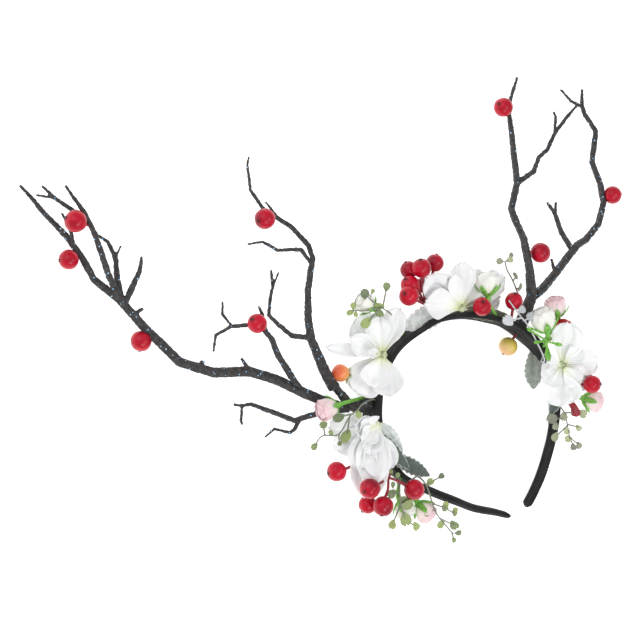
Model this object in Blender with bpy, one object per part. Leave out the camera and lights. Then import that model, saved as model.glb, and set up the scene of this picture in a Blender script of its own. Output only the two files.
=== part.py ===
# Reindeer antler headband: a ribbon-wound band that lies on its back rim, with two
# forked twig antlers and a garland of cloth flowers, rosebuds, berries, leaves and sprigs.
#
# Frame: +Z is the way the front of the band looks, +Y runs from the head to the crown,
# and X goes across. The origin is on the back rim, in the middle of the crown.
#
# The garland and the antlers are placed by sight lines. A reading is given in millimetres
# to the right of the ring's centre and up from it, in the plane across the line of sight,
# and with the height above the back rim where the sight line stops.
import math
from collections import namedtuple

import bmesh
import bpy
from mathutils import Matrix, Vector
from mathutils.bvhtree import BVHTree

for old_object in list(bpy.data.objects):
    bpy.data.objects.remove(old_object, do_unlink=True)

# Driving dimensions, in millimetres and degrees
BAND_THICKNESS = 5.0
BAND_WIDTH_CROWN = 24.0
BAND_WIDTH_TIP = 9.0
BAND_TAPER_START = 50.0
BAND_TAPER_END = 130.0
BAND_CHAMFER = 1.6
BAND_TIP_ROUNDING = 3.0
BAND_TIP_SHARE = 0.4
BAND_STEP_ANGLE = 12.0
CROWN_FACET_HALF_ANGLE = 4.5
CROWN_RADIUS = 66.4
PETAL_THICKNESS = 1.0
LEAF_THICKNESS = 1.0
SEAT_GAP = 0.3
CENTRE_TO_EYE = 1600.0
VIEW_TILT = 25.0
VIEW_TURN = 29.4
VIEW_AXIS_RIGHT = -89.7
VIEW_AXIS_UP = 61.75

# Weld distances to try, in millimetres, and the shares of triangles kept after joining
WELDS = (0.02, 0.008, 0.003, 0.001)
KEEP_ALL = 1.0
KEEP_TWIG = 0.95
KEEP_FRUIT = 0.72
KEEP_SHEET = 0.6
SHARP_ANGLE = 40.0
BERRY_SIDES = 10
BERRY_RINGS = 5
TWIG_SIDES = 6
STEM_SIDES = 3

TO_METRES = 0.001

# The line of sight, as unit vectors in the part's frame
tilt = math.radians(VIEW_TILT)
turn = math.radians(VIEW_TURN)
SIGHT_RIGHT = Vector((math.cos(turn) * math.cos(tilt), -math.sin(turn) * math.cos(tilt), math.sin(tilt)))
SIGHT_UP = Vector((math.sin(turn), math.cos(turn), 0.0))
TO_VIEWER = SIGHT_RIGHT.cross(SIGHT_UP)
RING_CENTRE = Vector((0.0, -CROWN_RADIUS, 0.0))
EYE = RING_CENTRE + SIGHT_RIGHT * VIEW_AXIS_RIGHT + SIGHT_UP * VIEW_AXIS_UP + TO_VIEWER * CENTRE_TO_EYE

COLOURS = {
    "ribbon": ((0.022, 0.022, 0.024), 0.75),
    "bark": ((0.035, 0.033, 0.034), 0.6),
    "berry": ((0.55, 0.012, 0.03), 0.25),
    "petal": ((0.86, 0.87, 0.88), 0.8),
    "rose_pink": ((0.87, 0.55, 0.58), 0.75),
    "rose_white": ((0.85, 0.86, 0.74), 0.75),
    "orange": ((0.85, 0.28, 0.08), 0.5),
    "yellow": ((0.72, 0.6, 0.14), 0.5),
    "leaf": ((0.1, 0.15, 0.11), 0.7),
    "sprig": ((0.24, 0.32, 0.18), 0.7),
    "bright_green": ((0.12, 0.42, 0.06), 0.6),
}


def seen_at(right, up, height):
    """The point where a sight line reaches the given height above the back rim."""
    reading = RING_CENTRE + SIGHT_RIGHT * right + SIGHT_UP * up
    ray = reading - EYE
    return EYE + ray * ((height - EYE.z) / ray.z)


def material(slot):
    found = bpy.data.materials.get(slot)
    if found:
        return found
    colour, roughness = COLOURS[slot]
    made = bpy.data.materials.new(slot)
    made.use_nodes = True
    shader = made.node_tree.nodes["Principled BSDF"]
    shader.inputs["Base Color"].default_value = (*colour, 1.0)
    shader.inputs["Roughness"].default_value = roughness
    return made


def mesh_object(name, bm, slot):
    """An object from a bmesh that was built in millimetres."""
    bmesh.ops.scale(bm, vec=(TO_METRES,) * 3, verts=bm.verts)
    bmesh.ops.recalc_face_normals(bm, faces=bm.faces)
    bmesh.ops.triangulate(bm, faces=bm.faces)
    mesh = bpy.data.meshes.new(name)
    bm.to_mesh(mesh)
    bm.free()
    made = bpy.data.objects.new(name, mesh)
    bpy.context.scene.collection.objects.link(made)
    mesh.materials.append(material(slot))
    return made


def loft(bm, rings):
    """A closed skin through rings of equal length, capped at both ends."""
    loops = [[bm.verts.new(point) for point in ring] for ring in rings]
    count = len(loops[0])
    for near, far in zip(loops, loops[1:]):
        for i in range(count):
            j = (i + 1) % count
            bm.faces.new((near[i], near[j], far[j], far[i]))
    bm.faces.new(list(reversed(loops[0])))
    bm.faces.new(loops[-1])


def tube(points, sides):
    """A bent rod through (place, radius) pairs, its ring kept from twisting."""
    places = [place for place, _ in points]
    rings = []
    side = None
    for i, (place, radius) in enumerate(points):
        ahead = places[min(i + 1, len(places) - 1)]
        behind = places[max(i - 1, 0)]
        along = (ahead - behind).normalized()
        if side is None:
            side = along.orthogonal().normalized()
        side = (side - along * side.dot(along)).normalized()
        other = along.cross(side)
        angles = [2 * math.pi * k / sides for k in range(sides)]
        rings.append([place + (side * math.cos(a) + other * math.sin(a)) * radius for a in angles])
    bm = bmesh.new()
    loft(bm, rings)
    return bm


def ball(centre, radius, axis=Vector((0, 0, 1)), stretch=1.0, sides=BERRY_SIDES, rings=BERRY_RINGS):
    bm = bmesh.new()
    bmesh.ops.create_uvsphere(bm, u_segments=sides, v_segments=rings, radius=radius)
    bmesh.ops.scale(bm, vec=(1, 1, stretch), verts=bm.verts)
    aim = Vector((0, 0, 1)).rotation_difference(axis).to_matrix().to_4x4()
    bmesh.ops.transform(bm, matrix=Matrix.Translation(centre) @ aim, verts=bm.verts)
    return bm


grown_shells = {}


def evaluated_copy(source):
    return bpy.data.meshes.new_from_object(source.evaluated_get(bpy.context.evaluated_depsgraph_get()))


def boolean(target, tool, operation):
    """Applies one exact Boolean to the target's mesh."""
    modifier = target.modifiers.new(operation.lower(), "BOOLEAN")
    modifier.operation = operation
    modifier.solver = "EXACT"
    modifier.object = tool
    result = evaluated_copy(target)
    target.modifiers.clear()
    if len(result.polygons):
        target.data = result


def fuse(name, bodies, slot, keep=KEEP_FRUIT):
    """One solid from several overlapping ones, each given as a bmesh."""
    target = mesh_object(name, bodies[0], slot)
    grown_shells[name] = [grown(target.data)]
    for body in bodies[1:]:
        tool = mesh_object("joining", body, slot)
        grown_shells[name].append(grown(tool.data))
        boolean(target, tool, "UNION")
        bpy.data.objects.remove(tool, do_unlink=True)
    tidy(target)
    thin_out(target, keep)
    return target


def thin_out(target, keep):
    """Collapses the slivers that joining leaves, down to a share of the triangles."""
    modifier = target.modifiers.new("thin_out", "DECIMATE")
    modifier.ratio = keep
    target.data = evaluated_copy(target)
    target.modifiers.clear()


def largest_island(bm):
    """Deletes every loose shell but the one with the largest volume."""
    unseen = set(bm.verts)
    islands = []
    while unseen:
        stack = [unseen.pop()]
        island = set(stack)
        while stack:
            for edge in stack.pop().link_edges:
                for vert in edge.verts:
                    if vert in unseen:
                        unseen.remove(vert)
                        island.add(vert)
                        stack.append(vert)
        islands.append(island)
    if len(islands) < 2:
        return

    def size(island):
        faces = {face for vert in island for face in vert.link_faces}
        return abs(sum(
            face.verts[0].co.dot(face.verts[1].co.cross(face.verts[2].co)) for face in faces))

    keep = max(islands, key=size)
    bmesh.ops.delete(bm, geom=[vert for vert in bm.verts if vert not in keep], context="VERTS")


def tidy(target):
    """Welds slivers, keeps one shell and leaves plain triangles."""
    for weld in WELDS:
        bm = bmesh.new()
        bm.from_mesh(target.data)
        bmesh.ops.triangulate(bm, faces=bm.faces)
        bmesh.ops.remove_doubles(bm, verts=bm.verts, dist=weld * TO_METRES)
        bmesh.ops.dissolve_degenerate(bm, dist=weld * TO_METRES / 2, edges=bm.edges)
        bmesh.ops.triangulate(bm, faces=bm.faces)
        largest_island(bm)
        closed = all(len(edge.link_faces) == 2 for edge in bm.edges)
        if closed or weld == WELDS[-1]:
            bm.to_mesh(target.data)
            bm.free()
            return
        bm.free()


def tree_of(target):
    return BVHTree.FromObject(target, bpy.context.evaluated_depsgraph_get())


def grown(mesh):
    """A copy of a mesh with its skin moved out by the seat gap."""
    bm = bmesh.new()
    bm.from_mesh(mesh)
    bm.normal_update()
    moves = [(vert, vert.normal * min(vert.calc_shell_factor(), 2.0)) for vert in bm.verts]
    for vert, move in moves:
        vert.co += move * SEAT_GAP * TO_METRES
    made = bpy.data.meshes.new("grown")
    bm.to_mesh(made)
    bm.free()
    return made


def near(a, b, reach):
    corners_a = [Vector(corner) for corner in a.bound_box]
    corners_b = [Vector(corner) for corner in b.bound_box]
    for axis in range(3):
        low_a = min(corner[axis] for corner in corners_a)
        high_a = max(corner[axis] for corner in corners_a)
        low_b = min(corner[axis] for corner in corners_b)
        high_b = max(corner[axis] for corner in corners_b)
        if low_a > high_b + reach or low_b > high_a + reach:
            return False
    return True


placed = []


def cut_back(piece, shell):
    """Takes a grown shell out of a piece where the two meet."""
    cutter = bpy.data.objects.new("cutter", shell)
    bpy.context.scene.collection.objects.link(cutter)
    bpy.context.view_layer.update()
    if near(piece, cutter, 0) and tree_of(piece).overlap(tree_of(cutter)):
        boolean(piece, cutter, "DIFFERENCE")
        tidy(piece)
        bpy.context.view_layer.update()
    bpy.data.objects.remove(cutter, do_unlink=True)


def seat(piece):
    """Cuts a piece back where it would reach into those already placed."""
    bpy.context.view_layer.update()
    for other in placed:
        if near(piece, other, SEAT_GAP * TO_METRES):
            for shell in grown_shells[other.name]:
                cut_back(piece, shell)
            if tree_of(piece).overlap(tree_of(other)):
                cut_back(piece, grown(other.data))
    placed.append(piece)


# The band

Polar = namedtuple("Polar", "angle radius")

# Inner outline round the ring's centre, from the left tip over the crown to the right tip
BAND_OUTLINE = [
    Polar(-179, 72.5), Polar(-171, 65), Polar(-159, 58.5), Polar(-146, 53), Polar(-131, 51),
    Polar(-117, 52), Polar(-95, 58.5), Polar(-76, 63), Polar(-58, 65.5), Polar(-27, 67.5),
    Polar(-4.5, 64.5), Polar(4.5, 64.5), Polar(20, 63), Polar(41, 62), Polar(58, 64),
    Polar(74, 65.5), Polar(89, 67.5), Polar(105, 67.5), Polar(123, 67), Polar(141, 67),
    Polar(157, 70), Polar(171, 74.5),
]


def outline_slope(number):
    """How fast the radius grows with the angle at a row of the outline."""
    before = BAND_OUTLINE[max(number - 1, 0)]
    after = BAND_OUTLINE[min(number + 1, len(BAND_OUTLINE) - 1)]
    return (after.radius - before.radius) / (after.angle - before.angle)


def outline_radius(angle):
    """A smooth curve through the rows of the outline."""
    for number, (low, high) in enumerate(zip(BAND_OUTLINE, BAND_OUTLINE[1:])):
        if angle <= high.angle:
            span = high.angle - low.angle
            t = min(max((angle - low.angle) / span, 0.0), 1.0)
            blend = t * t * (3 - 2 * t)
            leaving = outline_slope(number) * span * t * (1 - t) ** 2
            arriving = outline_slope(number + 1) * span * t * t * (t - 1)
            return low.radius * (1 - blend) + high.radius * blend + leaving + arriving
    return BAND_OUTLINE[-1].radius


def band_width(angle):
    """Wide over the crown, tapering down both legs."""
    share = min(max((abs(angle) - BAND_TAPER_START) / (BAND_TAPER_END - BAND_TAPER_START), 0.0), 1.0)
    return BAND_WIDTH_CROWN + (BAND_WIDTH_TIP - BAND_WIDTH_CROWN) * share * share * (3 - 2 * share)


# How far from each tip the closing sections lie, in degrees
TIP_STEPS = (0.0, 1.5, 4.0)
TIP_CLEARANCE = 6.0


def band_stations():
    """Angles of the sections: even steps out from the crown's facet, closer at the tips."""
    first, last = BAND_OUTLINE[0].angle, BAND_OUTLINE[-1].angle
    stations = [first + step for step in TIP_STEPS] + [last - step for step in TIP_STEPS]
    angle = CROWN_FACET_HALF_ANGLE
    while angle < max(-first, last) - TIP_CLEARANCE:
        if -angle > first + TIP_CLEARANCE:
            stations.append(-angle)
        if angle < last - TIP_CLEARANCE:
            stations.append(angle)
        angle += BAND_STEP_ANGLE
    return sorted(stations)


def band_section(angle):
    """Eight corners of the band's section, with its edges chamfered."""
    first, last = BAND_OUTLINE[0].angle, BAND_OUTLINE[-1].angle
    radius = outline_radius(angle)
    to_tip = math.radians(min(angle - first, last - angle)) * radius
    left = 1 - min(to_tip / BAND_TIP_ROUNDING, 1.0)
    close = BAND_TIP_SHARE + (1 - BAND_TIP_SHARE) * math.sqrt(1 - left * left)
    middle, centre = radius + BAND_THICKNESS / 2, band_width(angle) / 2
    thick, wide, chamfer = BAND_THICKNESS / 2 * close, centre * close, BAND_CHAMFER * close
    turned = math.radians(angle)
    offsets = [
        (chamfer - thick, -wide), (thick - chamfer, -wide), (thick, chamfer - wide), (thick, wide - chamfer),
        (thick - chamfer, wide), (chamfer - thick, wide), (-thick, wide - chamfer), (-thick, chamfer - wide),
    ]
    corners = [(middle + out, centre + along) for out, along in offsets]
    return [RING_CENTRE + Vector((r * math.sin(turned), r * math.cos(turned), z)) for r, z in corners]


def make_headband():
    bm = bmesh.new()
    loft(bm, [band_section(angle) for angle in band_stations()])
    return fuse("headband", [bm], "ribbon", KEEP_ALL)


# How far inside the band's rims a root stays
ROOT_MARGIN = 3.0


def on_band(right, up, height):
    """The middle of the band's wall, straight in from a reading and level with it where the wall is."""
    reading = seen_at(right, up, height) - RING_CENTRE
    turned = math.atan2(reading.x, reading.y)
    angle = math.degrees(turned)
    radius = outline_radius(angle) + BAND_THICKNESS / 2
    level = min(height, band_width(angle) - ROOT_MARGIN)
    return RING_CENTRE + Vector((radius * math.sin(turned), radius * math.cos(turned), level))


# The twig antlers

Knot = namedtuple("Knot", "right up height radius")

# Each antler is a list of runs; a run is a list of knots from its root to its tip
ANTLERS = {
    "antler_left_stump": [
        [Knot(-58, 8, 15, 4.4), Knot(-66, 5, 15, 4.7), Knot(-71, 7, 15.5, 4.2), Knot(-76.5, 14, 16, 3.1),
         Knot(-82, 20.5, 16.5, 3)],
    ],
    "antler_left_outer": [
        [Knot(-71.5, 3.5, 15, 4.9), Knot(-84, 7.5, 15, 4), Knot(-101.5, 15, 16, 3.9),
         Knot(-118, 23, 18, 3.8), Knot(-136, 28.5, 19, 3.8), Knot(-159, 27.5, 19, 3.8),
         Knot(-181, 34.5, 18, 3.6), Knot(-204, 57, 16, 3.4), Knot(-220, 75, 15, 3.2),
         Knot(-236.5, 88, 12, 2.8), Knot(-244.5, 102.5, 9, 2.6), Knot(-255, 117, 6, 2.4),
         Knot(-268.5, 130.5, 4, 2.1), Knot(-277, 141, 2.4, 1.7), Knot(-285, 149.5, 1.7, 1.3)],
        [Knot(-219, 74, 15, 2.4), Knot(-227, 90.5, 20, 2.5), Knot(-231, 103, 23, 2.4),
         Knot(-236, 117.5, 24, 2.2), Knot(-242.5, 131, 24, 2), Knot(-255.5, 149.5, 22, 1.2)],
        [Knot(-239, 124, 24, 1.6), Knot(-249.5, 132.5, 20, 1.9), Knot(-261.5, 140.5, 15, 1.6),
         Knot(-270.5, 149, 11, 1.1)],
        [Knot(-262, 141, 14.5, 1.3), Knot(-274.5, 143, 10, 1.1)],
        [Knot(-249, 107, 7.8, 1.4), Knot(-251.5, 119, 12, 1.5), Knot(-257.5, 131.5, 17, 1.1)],
        [Knot(-218, 73, 15, 2.2), Knot(-221.5, 89, 11, 2.4), Knot(-222.5, 102, 8, 2.1),
         Knot(-227.5, 112.5, 5, 1.7), Knot(-236.5, 118.5, 3, 1.1)],
        [Knot(-222.5, 103, 7.7, 1.3), Knot(-219, 110, 6, 1)],
        [Knot(-217, 71, 15.3, 2.2), Knot(-212.5, 81.5, 19, 2.4), Knot(-207, 93, 24, 2),
         Knot(-205.5, 103.5, 27, 1.2)],
        [Knot(-167, 29, 19, 2.4), Knot(-166, 35.5, 21, 1.7)],
        [Knot(-135, 28.5, 19, 2), Knot(-141, 37, 22, 1.2)],
        [Knot(-211, 65, 15.5, 2), Knot(-204.5, 69.5, 18, 1.4)],
    ],
    "antler_left_upper": [
        [Knot(-80.5, 17.5, 16, 4.5), Knot(-86.5, 28, 18, 4.1), Knot(-95.5, 49.5, 22, 3.2),
         Knot(-97.5, 62.5, 24, 3), Knot(-97.5, 81.5, 26, 2.6), Knot(-94.5, 102, 26, 2.3),
         Knot(-97, 110, 25, 2.2), Knot(-108, 122, 23, 2.1), Knot(-127, 134.5, 19, 1.7),
         Knot(-135, 146.5, 15, 1.5), Knot(-137, 162.5, 10, 1.2), Knot(-136, 168, 9, 1)],
        [Knot(-118.5, 130, 21.3, 1.4), Knot(-125, 138.5, 24, 1.1)],
        [Knot(-95, 98, 26, 1.7), Knot(-102, 107.5, 31, 1.9), Knot(-109, 107.5, 34, 1.6),
         Knot(-117, 107, 37, 1.5), Knot(-127, 112.5, 40, 1.3), Knot(-137, 111, 42, 1)],
        [Knot(-95.5, 50, 22, 2.3), Knot(-108, 51.5, 18, 2.1), Knot(-116.5, 58.5, 14, 1.9),
         Knot(-123, 65, 10, 1.7), Knot(-122, 76, 6, 1.5), Knot(-120.5, 83, 4, 1.4),
         Knot(-121.5, 94.5, 1.5, 1.1)],
        [Knot(-120.7, 82, 4.2, 1.1), Knot(-116.5, 93, 3, 1)],
    ],
    "antler_left_middle": [
        [Knot(-101, 15, 17, 2.6), Knot(-106.5, 22, 20, 2.8), Knot(-117, 39, 26, 2.5),
         Knot(-121, 49.5, 28, 2.3), Knot(-125.5, 54.5, 29, 2.1), Knot(-127, 65, 31, 1.5),
         Knot(-129.5, 71, 32, 1.1)],
        [Knot(-125, 54.5, 29, 1.7), Knot(-136.5, 58.5, 27, 1.9), Knot(-147.5, 57.5, 23, 1.7),
         Knot(-157.5, 52, 18, 1.5), Knot(-159, 41, 14, 1.1)],
        [Knot(-147, 57.5, 23.2, 1.3), Knot(-153, 65.5, 26, 1.4), Knot(-153, 74, 29, 1)],
    ],
    "antler_left_lower": [
        [Knot(-83, 6, 15, 2.5), Knot(-91.5, 1, 13, 2.4), Knot(-106.5, -3.5, 9, 2.2),
         Knot(-122, 2.5, 6, 2), Knot(-134.5, 7, 4, 1.7), Knot(-141.5, 6, 3, 1.5),
         Knot(-146, 7, 2.5, 1.1)],
        [Knot(-140.5, 6.5, 3.1, 1.3), Knot(-141, -3.5, 1.6, 1.2), Knot(-140, -6.5, 1.4, 1)],
        [Knot(-103, -3, 10, 1.7), Knot(-106, -9, 11, 1.7), Knot(-109, -11.5, 12, 1.6),
         Knot(-119.5, -9, 13, 1.4), Knot(-125.5, -14.5, 14, 1.1)],
    ],
    "antler_right_inner": [
        [Knot(41.5, 58, 15, 4.2), Knot(44.5, 68, 16, 4.1), Knot(48, 78, 18, 3.9),
         Knot(46.5, 95, 22, 2.9), Knot(42.5, 115, 25, 2.6), Knot(37, 127, 26, 2.5),
         Knot(34.5, 134, 26, 2.5), Knot(38.5, 151.5, 26, 2.5), Knot(36.5, 167, 23, 2.3),
         Knot(34.5, 186, 18, 2), Knot(33.2, 194.5, 15, 1.7), Knot(34, 205, 11, 1.4),
         Knot(38.5, 219.5, 6, 1)],
        [Knot(38.3, 150.5, 26, 1.9), Knot(45, 155.5, 29, 2), Knot(49, 158, 31, 1.9),
         Knot(52.5, 167.5, 33, 1.7), Knot(58, 172.5, 34, 1.6), Knot(63, 183.5, 34, 1.5),
         Knot(71, 194, 32, 1.3), Knot(77, 201, 30, 1)],
        [Knot(62.8, 183, 34, 1.2), Knot(63.5, 194, 36, 1.2), Knot(62, 197, 37, 0.8)],
    ],
    "antler_right_outer": [
        [Knot(48, 77, 18, 3.5), Knot(54.5, 81.5, 17, 3.2), Knot(62, 90.5, 16, 3),
         Knot(77.5, 110.5, 14, 2.8), Knot(83, 114, 13.5, 2.6), Knot(91, 123.5, 12, 2.5),
         Knot(94.5, 138, 10, 2.4), Knot(92.5, 150, 9, 2.3), Knot(87, 164.5, 9, 2.2),
         Knot(89.5, 184.5, 8, 2), Knot(82.5, 195, 5, 1.7), Knot(80.5, 201, 3.5, 1.5),
         Knot(80.6, 211.5, 1.4, 1)],
        [Knot(80.8, 200, 3.8, 1.2), Knot(73.5, 204, 6, 1.2), Knot(66.5, 211.5, 9, 0.8)],
        [Knot(74, 107.5, 14.8, 2.1), Knot(67, 119, 19, 2), Knot(63, 131, 22, 1.6),
         Knot(58, 138, 24, 1.1)],
        [Knot(63.3, 130, 21.8, 1.3), Knot(63.5, 138.5, 20, 1)],
        [Knot(63, 93, 16, 1.6), Knot(60.5, 101.5, 18, 1)],
    ],
}


# Runs whose first knot is the foot that stands on the band
BANDED = ("antler_left_stump", "antler_right_inner")


def run_points(knots, banded):
    points = [(seen_at(knot.right, knot.up, knot.height), knot.radius) for knot in knots]
    if banded:
        foot = knots[0]
        points[0] = (on_band(foot.right, foot.up, foot.height), foot.radius)
    return points


def make_antlers():
    for name, runs in ANTLERS.items():
        bodies = [tube(run_points(run, name in BANDED and run is runs[0]), TWIG_SIDES) for run in runs]
        seat(fuse(name, bodies, "bark", KEEP_TWIG))


# Berries, each with its stem

Berry = namedtuple("Berry", "name right up height radius stem_right stem_up stem_height")

BERRIES = [
    Berry("antler_berry_left_1", -248.5, 126, 25, 6.6, -240, 123, 24),
    Berry("antler_berry_left_2", -253, 101, 9, 5.9, -243.5, 102, 9),
    Berry("antler_berry_left_3", -206, 48, 14, 6.2, -204.5, 57, 16),
    Berry("antler_berry_left_4", -125.5, 127.5, 26, 6.3, -118.5, 129.5, 21.5),
    Berry("antler_berry_left_5", -130.5, 59.5, 33, 5.9, -126, 56, 29.5),
    Berry("antler_berry_right_1", 29.5, 200, 18, 6.1, 33.5, 197, 14),
    Berry("antler_berry_right_2", 53.5, 105.5, 24, 6.4, 44.5, 105.5, 24),
    Berry("antler_berry_right_3", 100.5, 143, 12, 5.8, 94, 142, 10),
    Berry("berry_single_left", -78.8, -36.7, 14, 6.1, -57, -34, 14),
    Berry("berry_top", 15.6, 70.4, 29, 5.8, 14, 62, 20),
    Berry("berry_right_upper", 36.3, 74, 25, 5.6, 35, 62, 18),
    Berry("berry_right_middle", 68.4, 56.5, 17, 6.1, 58, 47, 12),
    Berry("berry_right_side", 87.2, 20, 27, 5.8, 68, 20, 14),
    Berry("berry_yellow", 32.5, 44.5, 6.5, 6.0, 37, 51, 8),
]

SprayBerry = namedtuple("SprayBerry", "right up height radius")

SPRAYS = {
    "berry_spray_top": {
        "hub": (-21, 71.5, 19),
        "root": (-22, 62, 13),
        "berries": [
            SprayBerry(-15, 98.8, 20, 5.6), SprayBerry(-23.7, 95.5, 29, 6.0),
            SprayBerry(-31.9, 94.3, 20, 5.5), SprayBerry(-31.2, 84.5, 26, 5.9),
            SprayBerry(-31.9, 77.4, 32, 6.1), SprayBerry(-22, 84.5, 16, 5.2),
        ],
    },
    "berry_spray_bottom": {
        "hub": (-45.2, -40.7, 24),
        "root": (-44, -33, 18),
        "berries": [
            SprayBerry(-57.2, -47.8, 33, 6.3), SprayBerry(-58.7, -58.2, 16, 5.7),
            SprayBerry(-48.6, -59.3, 29, 6.3), SprayBerry(-28.5, -48.5, 28, 6.4),
        ],
    },
}

STEM_RADIUS = 0.8
STEM_FLARE = 1.5
STEM_SINK = 1.0
HUB_SIDES = 6
HUB_FLARE = 2.0


def berry_bodies(centre, radius, root):
    """A ball and the stem that it hangs on."""
    away = (centre - root).normalized()
    stem = [(centre - away * (radius - STEM_SINK), STEM_RADIUS * STEM_FLARE), (root, STEM_RADIUS)]
    return [ball(centre, radius, away), tube(stem, STEM_SIDES)]


def make_berries():
    for berry in BERRIES:
        centre = seen_at(berry.right, berry.up, berry.height)
        carrier = seen_at if berry.name.startswith("antler") else on_band
        root = carrier(berry.stem_right, berry.stem_up, berry.stem_height)
        slot = "yellow" if berry.name == "berry_yellow" else "berry"
        seat(fuse(berry.name, berry_bodies(centre, berry.radius, root), slot))


def make_sprays():
    for name, spray in SPRAYS.items():
        hub = seen_at(*spray["hub"])
        root = on_band(*spray["root"])
        bodies = [tube([(root, STEM_RADIUS * STEM_FLARE), (hub, STEM_RADIUS * HUB_FLARE)], HUB_SIDES)]
        for berry in spray["berries"]:
            centre = seen_at(berry.right, berry.up, berry.height)
            bodies += berry_bodies(centre, berry.radius, hub + (root - hub).normalized() * STEM_SINK)
        seat(fuse(name, bodies, "berry", KEEP_ALL))


# Rosebuds: a closed bud on a green calyx and a stem

Bud = namedtuple("Bud", "name slot right up height radius tail_right tail_up root_right root_up root_height")

BUDS = [
    Bud("rosebud_pink_left", "rose_pink", -85.5, 3.6, 27, 6.9, -74.5, 7.8, -58, 13, 8),
    Bud("rosebud_white_top_left", "rose_white", -60.5, 73, 20, 6.3, -54, 68.5, -42, 60, 14),
    Bud("rosebud_white_top", "rose_white", 19.5, 86, 24, 6.5, 19.5, 77, 26, 62, 20),
    Bud("rosebud_white_right", "rose_white", 55, 62.4, 30, 8.0, 58.5, 52, 58, 46, 18),
    Bud("rosebud_pink_right", "rose_pink", 63.4, 71, 14, 6.9, 65, 62, 58, 50, 12),
    Bud("rosebud_pink_side", "rose_pink", 88, 9, 15, 6.7, 81, 11, 66, 12, 12),
    Bud("rosebud_white_bottom", "rose_white", -34.5, -61.8, 14, 6.2, -38, -55, -40, -41, 12),
    Bud("rosebud_pink_bottom", "rose_pink", -21.5, -63, 13, 6.8, -27, -56, -32, -44, 11),
    Bud("bud_orange", "orange", -76.4, 27.3, 19, 5.6, -70, 25, -56, 22, 12),
]

BUD_STRETCH = 1.12
CALYX_SIDES = 6

# The calyx is a funnel; its ends are given in shares of the bud's radius, its stem in millimetres
CALYX_TOP = 0.55
CALYX_END = 1.5
CALYX_WIDTH = 0.9
CALYX_NECK = 1.6
BUD_STEM_TOP = 1.2
BUD_STEM_ROOT = 1.0


def make_buds():
    for bud in BUDS:
        centre = seen_at(bud.right, bud.up, bud.height)
        tail = seen_at(bud.tail_right, bud.tail_up, bud.height - 1)
        root = on_band(bud.root_right, bud.root_up, bud.root_height)
        away = (centre - tail).normalized()
        calyx_top = centre - away * bud.radius * CALYX_TOP
        calyx_end = centre - away * bud.radius * CALYX_END
        bodies = [
            ball(centre, bud.radius, away, BUD_STRETCH),
            tube([(calyx_top, bud.radius * CALYX_WIDTH), (calyx_end, CALYX_NECK)], CALYX_SIDES),
            tube([(calyx_end + away, BUD_STEM_TOP), (root, BUD_STEM_ROOT)], STEM_SIDES),
        ]
        seat(fuse(bud.name, bodies, bud.slot))


# Cloth flowers: petals that spring from a heart, on a calyx that stands on the band

Petal = namedtuple("Petal", "right up height width cup")

FLOWERS = {
    "flower_left_upper": {
        "heart": (-49.5, 39.3, 25),
        "root": (-44, 36, 12),
        "petals": [
            Petal(-38.2, 70, 30, 16, 0.35), Petal(-66, 63.5, 22, 23, 0.25), Petal(-84.5, 44.5, 27, 9, 0.6),
            Petal(-67, 14.5, 24, 25, 0.25), Petal(-43.7, 12, 31, 21, 0.3),
        ],
    },
    "flower_left_lower": {
        "heart": (-56, -20, 26),
        "root": (-48, -22, 13),
        "petals": [
            Petal(-83.5, -8, 20, 19, 0.25), Petal(-80.5, -22, 18, 17, 0.3), Petal(-60.5, -2.5, 31, 16, 0.45),
            Petal(-42.2, -35, 31, 15, 0.5), Petal(-60.5, -54, 24, 24, 0.25),
        ],
    },
    "flower_top": {
        "heart": (2, 70, 22),
        "root": (2, 63, 14),
        "petals": [
            Petal(-18.5, 90.5, 31, 21, 0.3), Petal(4.3, 99.5, 26, 16, 0.45), Petal(16.5, 94.5, 20, 18, 0.3),
            Petal(32, 91, 16, 18, 0.3), Petal(29, 77, 12, 14, 0.3), Petal(-16, 70.5, 31, 20, 0.5),
        ],
    },
    "flower_right": {
        "heart": (67.7, 32.4, 23),
        "root": (63, 32, 12),
        "petals": [
            Petal(73.4, 59.5, 32, 21, 0.3), Petal(92, 36, 24, 17, 0.35), Petal(86.5, 20, 22, 16, 0.3),
            Petal(70, 5.5, 30, 24, 0.25), Petal(57, 25, 29, 14, 0.4),
        ],
    },
}

PETAL_ROWS = 4
PETAL_COLUMNS = 3
PETAL_BOW = 0.12
PETAL_TRIM = 0.1
PETAL_BELLY = 0.62
PETAL_TIP_REACH = 0.42
CLAW_WIDTH = 0.2
CLAW_OFFSET = 2.2

# The calyx under a flower: its half widths at the band, below the heart and at its rim
CUP_ROOT = 2.6
CUP_BELLY = 4.0
CUP_RIM = 3.2
CUP_REACH = 2.5


def petal_half_width(along):
    """Share of the half width at a share of the length: a narrow claw, a broad blade, a round tip."""
    if along < PETAL_BELLY:
        return CLAW_WIDTH + (1 - CLAW_WIDTH) * math.sin(math.pi / 2 * along / PETAL_BELLY) ** 1.4
    return math.sqrt(max(1 - ((along - PETAL_BELLY) / PETAL_TIP_REACH) ** 2, 0.0))


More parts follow.
